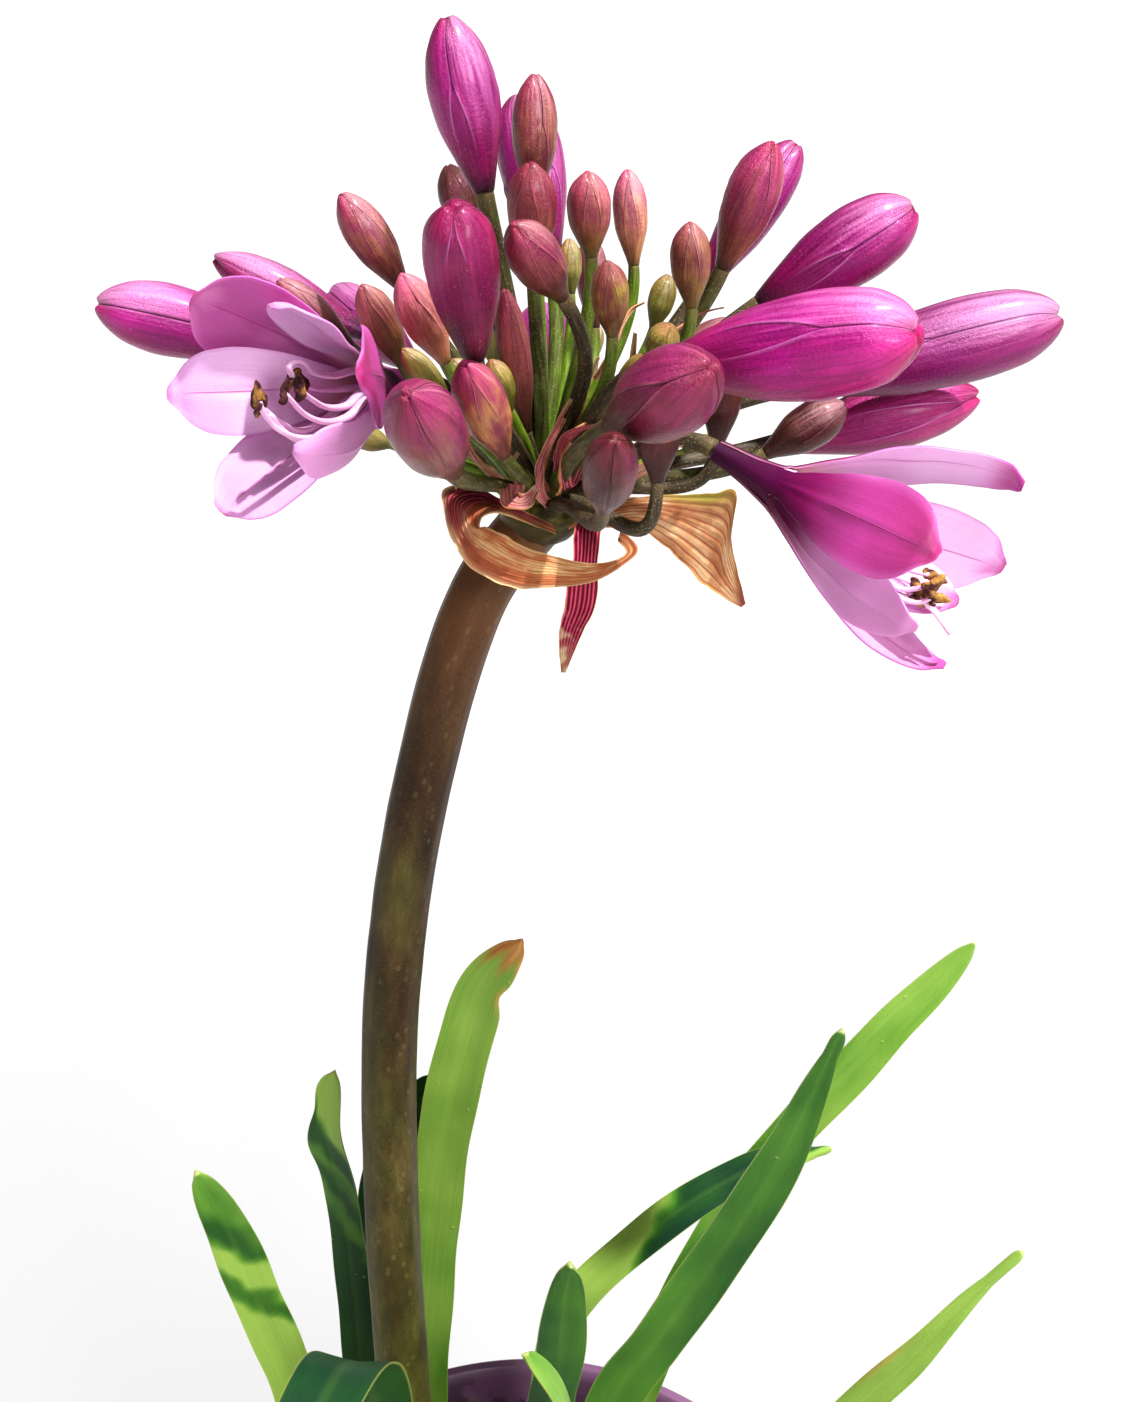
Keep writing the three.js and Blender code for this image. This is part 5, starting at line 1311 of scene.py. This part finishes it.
def add_anther(skin, tip, towards, wanted, gold, seed):
    """Curled pollen sac, set across the end of its thread."""
    tilt = np.array([math.sin(seed * 2.1), math.sin(seed * 3.7), math.cos(seed * 2.9)])
    lie = unit(unit(wanted) + 0.35 * tilt)
    along = np.linspace(-1, 1, ANTHER_ROWS)
    curl = unit(np.cross(lie, towards))
    bow = 0.5 + 0.5 * math.sin(seed * 5.3)
    centres = (tip + np.outer(along * 2.0, lie) + np.outer((0.3 + bow) * along ** 2, towards)
               + np.outer(0.5 * np.sin(3 * along + seed), curl))
    angle = turns(ANTHER_SIDES)
    lobes = 1 + 0.24 * np.cos(2 * angle)[None] + 0.12 * np.sin(9 * along[:, None] + 3 * angle)
    girth = 0.76 * np.sqrt(np.clip(1 - along ** 2, 0.03, 1))[:, None] * lobes
    skin.grid(tube(centres, girth, ANTHER_SIDES), wrap=True, caps=True, seed=seed * 1.1, gold=gold)


def add_thread(skin, place, route, widths, seed):
    """Flattened, tapering thread along a route given in the flower's own directions."""
    foot, axis, up, side = place
    line = along_spline([foot + axis * d + side * across + up * rise for d, across, rise in route],
                        np.linspace(0, 1, THREAD_ROWS))
    angle = turns(THREAD_SIDES)
    wide = np.linspace(widths[0], widths[1], THREAD_ROWS) / 2
    oval = 1 / np.sqrt(np.cos(angle) ** 2 + (np.sin(angle) / 0.6) ** 2)[None]
    skin.grid(tube(line, wide[:, None] * oval, THREAD_SIDES, first=side), wrap=True, caps=True, seed=seed)
    return line


def make_flower(node, shape, petal, thread, dust):
    """Open flower: six tepals, the lining of their tube, six stamens with anthers, and a style."""
    place = flower_place(shape)
    foot, axis, _, _ = place
    petals = Skin()
    for i, row in enumerate(shape["tepals"]):
        add_tepal(petals, place, row, i % 2, 1.3 + i)
    show(f"{node}_tepals", petals, petal, "flower", node, sharp=70)

    lining = Skin()
    distance = np.linspace(0.8, TUBE_LENGTH - 1, LINING_ROWS)
    centres = foot + np.outer(distance, axis)
    lining.grid(tube(centres, tube_radius(distance) - 0.75, LINING_SIDES), wrap=True, seed=0.2)
    threads = Skin()
    anthers = Skin()
    for i, route in enumerate(shape["stamens"]):
        line = add_thread(threads, place, route, (2.4, 1.2), i)
        add_anther(anthers, line[-1], unit(line[-1] - line[-6]), shape["anther_lie"], shape["anther_gold"],
                   i + 1)
    add_thread(threads, place, shape["style"], (1.7, 1.5), 9)
    show(f"{node}_lining", lining, thread, "flower", node)
    show(f"{node}_stamens", threads, thread, "flower", node)
    show(f"{node}_anthers", anthers, dust, "flower", node)


# ---------------------------------------------------------------- bracts

def make_bract(node, rows, paint, seed):
    """Ribbed papery bract between the two edges of its rows. `fresh`, `torn` and `yellow` mark
    where it is still red, frayed pale, or tinged with yellow."""
    t = np.linspace(0, 1, BRACT_STEPS * (len(rows) - 1) + 1)
    a = spline(np.array([edge for edge, _ in rows]) + HUB, t)
    b = spline(np.array([edge for _, edge in rows]) + HUB, t)
    across = b - a
    along = unit(tangents_of(a) + tangents_of(b))
    up = unit(np.cross(along, across))
    width = np.linalg.norm(across, axis=1)
    u = np.linspace(0, 1, BRACT_COLUMNS)[None]
    middle = a[:, None] + across[:, None] * u[..., None]
    rib_depth = 0.008 if node == "bract_right" else 0.016
    ribs = rib_depth * width[:, None] * np.cos(2 * np.pi * 7 * u)
    frill = 0.26 * lumps(middle, 4.0, seed) + 0.08 * lumps(middle, 1.2, seed + 4)
    edge = 0.04 * width[:, None] * lumps(middle, 2.6, seed + 9) * (2 * u - 1) ** 4 * np.sign(u - 0.5)
    middle = middle + up[:, None] * (ribs + frill)[..., None] + unit(across)[:, None] * edge[..., None]
    half = up[:, None] * 0.2
    v = t[:, None]
    marks = {"fresh": 0 * v, "torn": 0 * v, "yellow": 0 * v}
    if node == "bract_middle":
        marks["fresh"] = 1 - 0.6 * smooth(0.86, 1.0, v) * np.ones_like(u)
        marks["torn"] = smooth(0.7, 0.94, v) * smooth(0.45, 0.7, lumps(middle, 1.6, 2) * 0.5 + 0.5)
    elif node == "bract_left":
        outside = smooth(0.9, 0.45, u) * near(v, 0.26, 0.2)
        marks["fresh"] = 0.85 * outside + 0.3 * near(v, 0.15, 0.12)
        marks["torn"] = 0.8 * near(u, 0.0, 0.07) + 0.6 * near(u, 1.0, 0.05)
    else:
        marks["fresh"] = 0.75 * smooth(0.93, 1.0, v) + 0.45 * near(u, 1.0, 0.12) * near(v, 0.35, 0.2)
        marks["yellow"] = near(u, 0.95, 0.12) * near(v, 0.5, 0.16)
    skin = Skin()
    skin.sheet(middle + half, middle - half, seed=seed, **marks)
    show(f"{node}_sheet", skin, paint, "bract", node, sharp=60)


# ---------------------------------------------------------------- leaves

def make_leaf(node, row, paint, seed):
    """Strap leaf with a channel along its upper face, rooted upright in the soil."""
    route, width, taper, point, root_facing, tip_facing, tone = row
    route = np.array(route, float)
    count, columns = LEAF_GRID
    share = 1 - (1 - np.linspace(0, 1, count)) ** 1.35
    centres = along_spline(route, share)
    along = tangents_of(centres)
    upright = smooth(0.1, 0.02, share)[:, None]
    along = unit(along * (1 - upright) + np.array([0, 0, 1.0]) * upright)
    buried = np.array([route[0] - [0, 0, ROOTED_DEPTH - 4], route[0] - [0, 0, 4]])
    centres = np.vstack([buried, centres])
    along = np.vstack([[[0, 0, 1.0]] * 2, along])
    share = np.concatenate([[0, 0], share])
    facing = np.outer(1 - share, root_facing) + np.outer(share, tip_facing)
    up = square_to(along, facing)
    across = np.cross(along, up)
    base = 0.82 + 0.18 * np.minimum(1, share / 0.4)
    past = np.clip((share - taper) / (1 - taper), 0, 1)
    rounded = np.sqrt(np.clip(1 - np.clip((share - 0.985) / 0.015, 0, 1) ** 2, 0.02, 1))
    full = base * np.maximum(LEAF_TIP_SHARE * rounded, (1 - past ** 2.8) ** point * rounded)
    wide = np.maximum(width * full, 0.25)
    u = np.linspace(-1, 1, columns)[None]
    s = share[:, None]
    channel = LEAF_CHANNEL * wide[:, None] * (0.35 * u ** 2 + 0.65 * np.abs(u) ** 1.4)
    wave = 0.35 * smooth(0.1, 0.5, s) * np.sin(14 * s + seed + 1.1 * np.sign(u)) * u ** 2
    thick = (LEAF_THICKNESS - 0.9 * s) * (1 - np.abs(u) ** 2.2) + 0.35
    edge = 0.012 * wide[:, None] * np.sin(40 * s + seed) * np.abs(u) ** 6
    dry = 0 * s * u
    if node == "leaf_notched":
        notch = near(s, 0.86, 0.03) * smooth(0.3, 1.0, -u)
        edge = edge + 1.1 * notch - 1.6 * near(s, 0.93, 0.03) * smooth(0.3, 1.0, -u)
    if node == "leaf_tall":
        torn = near(s, 0.92, 0.018) * smooth(0.45, 1.0, u)
        edge = edge - 1.5 * torn
        dry = np.maximum(smooth(0.945, 0.985, s + 0.012 * np.sin(7 * u)) * np.ones_like(u), 0.7 * torn)
    if node == "leaf_low_right":
        dry = np.maximum(dry, 0.6 * near(s, 0.72, 0.05) * smooth(0.5, 1.0, -u))
    middle = (centres[:, None] + across[:, None] * (u * (wide[:, None] / 2) + np.sign(u) * edge)[..., None]
              + up[:, None] * (channel + wave)[..., None])
    half = up[:, None] * (thick / 2)[..., None]
    # The tone rows carry painted shadows where they dip, and painted shade where they stay low.
    tone_and_painted_shade = through(tone, np.clip(s + 0.03 * lumps(middle, 5, seed + 5) + 0.05 * u, 0, 1))
    tone_and_painted_shade = tone_and_painted_shade + 0.14 * lumps(middle, 26, seed) + 0.08 * lumps(middle, 7, seed + 2)
    skin = Skin()
    skin.sheet(middle + half, middle - half, seed=seed, tone=tone_and_painted_shade, dry=dry)
    show(f"{node}_blade", skin, paint, "leaf", node, sharp=75)


# ---------------------------------------------------------------- pot and soil

def pot_inner_radius(height):
    """Radius of the pot's inner wall below the rim band."""
    slope = (POT_BODY_TOP_RADIUS - POT_FOOT_RADIUS) / (POT_HEIGHT - POT_BAND_HEIGHT)
    return POT_FOOT_RADIUS - POT_WALL + slope * height


def make_pot(paint):
    """Tapered pot with a rim band, turned from its outline, with holes drilled in its base."""
    band_bottom = POT_HEIGHT - POT_BAND_HEIGHT
    inner = POT_RIM_RADIUS - POT_BAND_WALL
    outside = [
        (0.5, 0), (POT_FOOT_RADIUS - 1.5, 0), (POT_FOOT_RADIUS - 0.4, 0.4), (POT_FOOT_RADIUS, 1.5),
        (POT_FOOT_RADIUS + 0.4 * (POT_BODY_TOP_RADIUS - POT_FOOT_RADIUS), 0.4 * band_bottom),
        (POT_BODY_TOP_RADIUS, band_bottom - 2),
        (POT_BODY_TOP_RADIUS + 0.4, band_bottom - 1), (POT_RIM_RADIUS - 2.4, band_bottom),
        (POT_RIM_RADIUS - 2.1, band_bottom + 0.6), (POT_RIM_RADIUS - 1.1, POT_HEIGHT - 3.6),
        (POT_RIM_RADIUS - 0.5, POT_HEIGHT - 2.9), (POT_RIM_RADIUS, POT_HEIGHT - 1.8),
        (POT_RIM_RADIUS - 0.2, POT_HEIGHT - 0.5), (POT_RIM_RADIUS - 0.9, POT_HEIGHT),
        (inner + 0.5, POT_HEIGHT),
    ]
    inside = [
        (inner, POT_HEIGHT - 0.5), (inner - 1, POT_HEIGHT - 3),
        (pot_inner_radius(band_bottom), band_bottom), (pot_inner_radius(60), 60),
        (pot_inner_radius(POT_BASE), POT_BASE), (0.5, POT_BASE),
    ]
    radii, heights = np.array(outside + inside).T[..., None]
    # The inner wall gets soil and painted shadow from the rim down to the soil.
    soiled = smooth(POT_HEIGHT + 1, SOIL_TOP + 4, heights)
    soiled[:len(outside)] = 0
    skin = Skin()
    skin.grid(rings(radii, heights, turns(POT_SIDES)[None]), wrap=True, caps=True, soiled=soiled, seed=0.0)
    pot = show("pot_shell", skin, paint, "pot", "pot", sharp=35)
    for i in range(DRAIN_HOLES):
        turn = 2 * math.pi * (i + 0.5) / DRAIN_HOLES
        drill = Skin()
        hole = rings(DRAIN_RADIUS, 0, turns(POT_SIDES // 4))
        hole += DRAIN_CIRCLE_RADIUS * np.array([math.cos(turn), math.sin(turn), 0])
        drill.grid(np.stack([hole - [0, 0, 5], hole + [0, 0, 8]]), wrap=True, caps=True)
        cutter = placed("drill", drill.mesh("drill"))
        cut = pot.modifiers.new("drain", "BOOLEAN")
        cut.object, cut.operation, cut.solver = cutter, "DIFFERENCE", "EXACT"
        evaluated = pot.evaluated_get(bpy.context.evaluated_depsgraph_get())
        drilled = bpy.data.meshes.new_from_object(evaluated)
        pot.modifiers.clear()
        pot.data = drilled
        bpy.data.objects.remove(cutter)


def ground(flat):
    """Height of the soil's top, without its finest lumps, at points on the level z = 0."""
    return SOIL_TOP + 1.6 * lumps(flat, 14) + 1.1 * lumps(flat, 5, 4)


def make_soil(paint):
    """Lumpy plug of soil that fills the pot, with loose grains and bark on its top."""
    random = np.random.default_rng(7)
    edge = pot_inner_radius(SOIL_TOP - SOIL_SHOULDER) - GAP
    radius = (edge * np.linspace(0.01, 1, SOIL_RINGS) ** 0.8)[:, None]
    angle = turns(SOIL_SIDES)[None]
    points = rings(radius, 0, angle)
    points[..., 2] = ground(points) + 0.5 * lumps(points, 2.1, 8) - 3.5 * smooth(edge - 5, edge, radius)
    bottom = POT_BASE + 0.6
    down = rings(pot_inner_radius(bottom) - GAP, bottom, angle)
    skin = Skin()
    skin.grid(np.concatenate([points, down]), wrap=True, flip=True, caps=True, pale=0, seed=0)
    for _ in range(SOIL_GRAINS):
        r, turn = (edge - 2) * math.sqrt(random.random()), 2 * math.pi * random.random()
        size = random.choice([0.5, 0.8, 1.2, 1.9], p=[0.35, 0.35, 0.2, 0.1])
        place = np.array([r * math.cos(turn), r * math.sin(turn), 0])
        place[2] = ground(place[None])[0] + 0.2 * size
        stretch = size * (0.7 + 0.8 * random.random(3))
        polar = np.linspace(0.15, np.pi - 0.15, 5)[:, None]
        spin = turns(7)[None] + random.random()
        lump = rings(np.sin(polar), np.cos(polar), spin) * (0.8 + 0.4 * random.random((5, 7, 1)))
        tilt = np.linalg.qr(random.normal(size=(3, 3)))[0]
        pale = 1.0 if random.random() < 0.05 else 0.25 * (random.random() < 0.25)
        skin.grid((lump * stretch) @ tilt.T + place, wrap=True, flip=True, caps=True, pale=pale, seed=0)
    show("soil_top", skin, paint, "soil", "soil", sharp=40)


# ---------------------------------------------------------------- the plant

# Buds that have another skin than their kind.
OWN_SKIN = {"left_pink": "pale", "mid_pink": "pale", "front_left_orange": "tawny"}
skins = {kind: bud_paint(f"bud_{kind}", *row) for kind, row in BUD_SKINS.items()}

# How green a bud's stalk is, from 0 to 1.
GREENNESS = {"ripe": 0.12, "half": 0.3, "young": 0.6, "dusk": 0.15, "green": 0.8}
OWN_GREENNESS = {"s_stalk": 0.02, "crown": 0.3, "top_brown": 0.65, "mid_pink": 0.8, "pink_back": 0.6,
                 "mid_cone": 0.3, "top_front_brown": 0.4, "left_magenta": 0.1, "fore_giant": 0.02,
                 "front_left_orange": 0.4, "right_top": 0.35, "behind_top_pink": 0.5}

stalks_paint = stalk_paint()
make_scape(scape_paint())
stalks = Skin()
count = 0
for tone, names in (("ripe", RIPE), ("half", HALF), ("young", YOUNG), ("dusk", DUSK)):
    foot_share = RIPE_FOOT_SHARE if tone == "ripe" else FOOT_SHARE
    for bud_name in names:
        count += 1
        seed = 0.37 * count
        foot, axis, radius = make_bud(bud_name, tone, skins[OWN_SKIN.get(bud_name, tone)], seed)
        green = OWN_GREENNESS.get(bud_name, GREENNESS[tone])
        add_stalk(stalks, foot, axis, SWING.get(bud_name, USUAL_SWING), radius * foot_share, green, seed)

GREEN_SEAM = (5, 0.97, 28, 0.0, 0.4, 0.0)
green_buds = Skin()
for i, (bearing, rise, length, bud_bearing, bud_rise, bud_length, width) in enumerate(GREEN_BUDS):
    foot = HUB + direction(bearing, rise) * length
    axis = direction(bud_bearing, bud_rise)
    add_bud(green_buds, foot, axis, bud_length, width / 2, EGG, GREEN_SEAM, i * 1.9, GREEN_BUD_ROWS,
            GREEN_BUD_SECTORS)
    add_stalk(stalks, foot, axis, USUAL_SWING, width / 2 * FOOT_SHARE, GREENNESS["green"], i * 1.9)
show("green_buds", green_buds, skins["green"], "scape", "scape")
for i, shape in enumerate(FLOWERS.values()):
    foot, axis, _, _ = flower_place(shape)
    add_stalk(stalks, foot, axis, USUAL_SWING, TUBE_FOOT_RADIUS, 0.05, 4.4 + i)
show("bud_stalks", stalks, stalks_paint, "scape", "scape")

# The right flower's petal paint is a lighter copy of the left one's: painted light for a flower that gets
# less of the lamps.
pale_petal = tepal_paint("petal", [(0.4, 0xd4a4ca), (0.7, 0xd8b0d4), (0.92, 0xd6a8d2), (1.0, 0xd096ca)])
painted_light_petal = tepal_paint("painted_light_petal", [(0.4, 0xe2b0d8), (0.7, 0xecc8e8), (0.92, 0xecc0e6),
                                            (1.0, 0xd68cc6)])
PETALS = {"flower_left": pale_petal, "flower_right": painted_light_petal}
thread = thread_paint()
dust = anther_paint()
for node, shape in FLOWERS.items():
    make_flower(node, shape, PETALS[node], thread, dust)

CRIMSON = (0x4e061e, 0x92103a, 0xc8546e)
band_paint = bract_paint("bract_band", (0xac603c, 0xce8456, 0xecbe88), CRIMSON, 0x964c2c, 13)
crimson_paint = bract_paint("bract_crimson", (0xb06054, 0xd29678, 0xe8c49c), (0x70082a, 0xa61846, 0xd05c74),
                            0x781428, 7)
broad_paint = bract_paint("bract_broad", (0xa46c46, 0xbe8c62, 0xd2ac82), CRIMSON, 0x8c3c2c, 9)
ribbon_paint = bract_paint("ribbons", (0xdeaa84, 0xeecaa4, 0xf6e0be), (0xbc2252, 0xe4607c, 0xf4b0b0),
                           0xb05446, 5)
make_bracteoles(ribbon_paint)
BRACT_PAINTS = {"bract_left": band_paint, "bract_middle": crimson_paint, "bract_right": broad_paint}
for i, (node, rows) in enumerate(BRACTS.items()):
    make_bract(node, rows, BRACT_PAINTS[node], 2.0 + 3 * i)

blade_paint = leaf_paint()
for i, (node, row) in enumerate(LEAVES.items()):
    make_leaf(node, row, blade_paint, 0.9 * i + 0.4)

make_pot(pot_paint())
make_soil(soil_paint())


# ---------------------------------------------------------------- floor, light and camera

FLOOR_HALF = 14.0
floor_mesh = bpy.data.meshes.new("floor")
floor_mesh.from_pydata([(-FLOOR_HALF, -FLOOR_HALF, 0), (FLOOR_HALF, -FLOOR_HALF, 0),
                        (FLOOR_HALF, FLOOR_HALF, 0), (-FLOOR_HALF, FLOOR_HALF, 0)], [], [(0, 1, 2, 3)])
floor_mesh.materials.append(floor_paint())
placed("floor", floor_mesh)

# A white studio. The camera sees its backdrop paler than the light that it casts.
world = bpy.data.worlds.new("studio")
bpy.context.scene.world = world
world.use_nodes = True
sky = world.node_tree
background = sky.nodes["Background"]
background.inputs["Color"].default_value = (1.0, 1.0, 1.0, 1.0)
background.inputs["Strength"].default_value = 0.24
backdrop = sky.nodes.new("ShaderNodeBackground")
backdrop.inputs["Color"].default_value = (1.0, 1.0, 1.0, 1.0)
backdrop.inputs["Strength"].default_value = 0.9
seen = sky.nodes.new("ShaderNodeLightPath")
either = sky.nodes.new("ShaderNodeMixShader")
sky.links.new(seen.outputs["Is Camera Ray"], either.inputs["Fac"])
sky.links.new(background.outputs["Background"], either.inputs[1])
sky.links.new(backdrop.outputs["Background"], either.inputs[2])
sky.links.new(either.outputs["Shader"], sky.nodes["World Output"].inputs["Surface"])


def light(kind, name, place, target, energy, size):
    """Lamp that looks at a target. `size` is degrees for a sun and metres for an area."""
    data = bpy.data.lights.new(name, kind)
    data.energy = energy
    if kind == "SUN":
        data.angle = math.radians(size)
    else:
        data.shape = "DISK"
        data.size = size
    lamp = placed(name, data)
    lamp.location = place
    lamp.rotation_euler = (Vector(place) - Vector(target)).to_track_quat("Z", "Y").to_euler()


light("SUN", "key", (0.5, -0.26, 1.7), (0, 0, 0), 5.0, 2.0)
light("AREA", "front_fill", (0.66, -0.95, 0.95), (0, 0, 0.38), 11.0, 0.45)

# The photo's camera: its focal length in pixels, and its angle below level.
SENSOR = 36.0
FOCAL_LENGTH_PX = 1700
FRAME_HEIGHT_PX = 1402
CAMERA_DOWN = 26

camera_data = bpy.data.cameras.new("camera")
camera_data.sensor_width = SENSOR
camera_data.lens = SENSOR * FOCAL_LENGTH_PX / FRAME_HEIGHT_PX
camera = placed("camera", camera_data)
camera.location = FRONT * MM
camera.rotation_euler = (math.radians(90 - CAMERA_DOWN), 0, 0)
bpy.context.scene.camera = camera
bpy.context.scene.view_settings.view_transform = "Standard"
bpy.context.scene.view_settings.look = "Medium High Contrast"
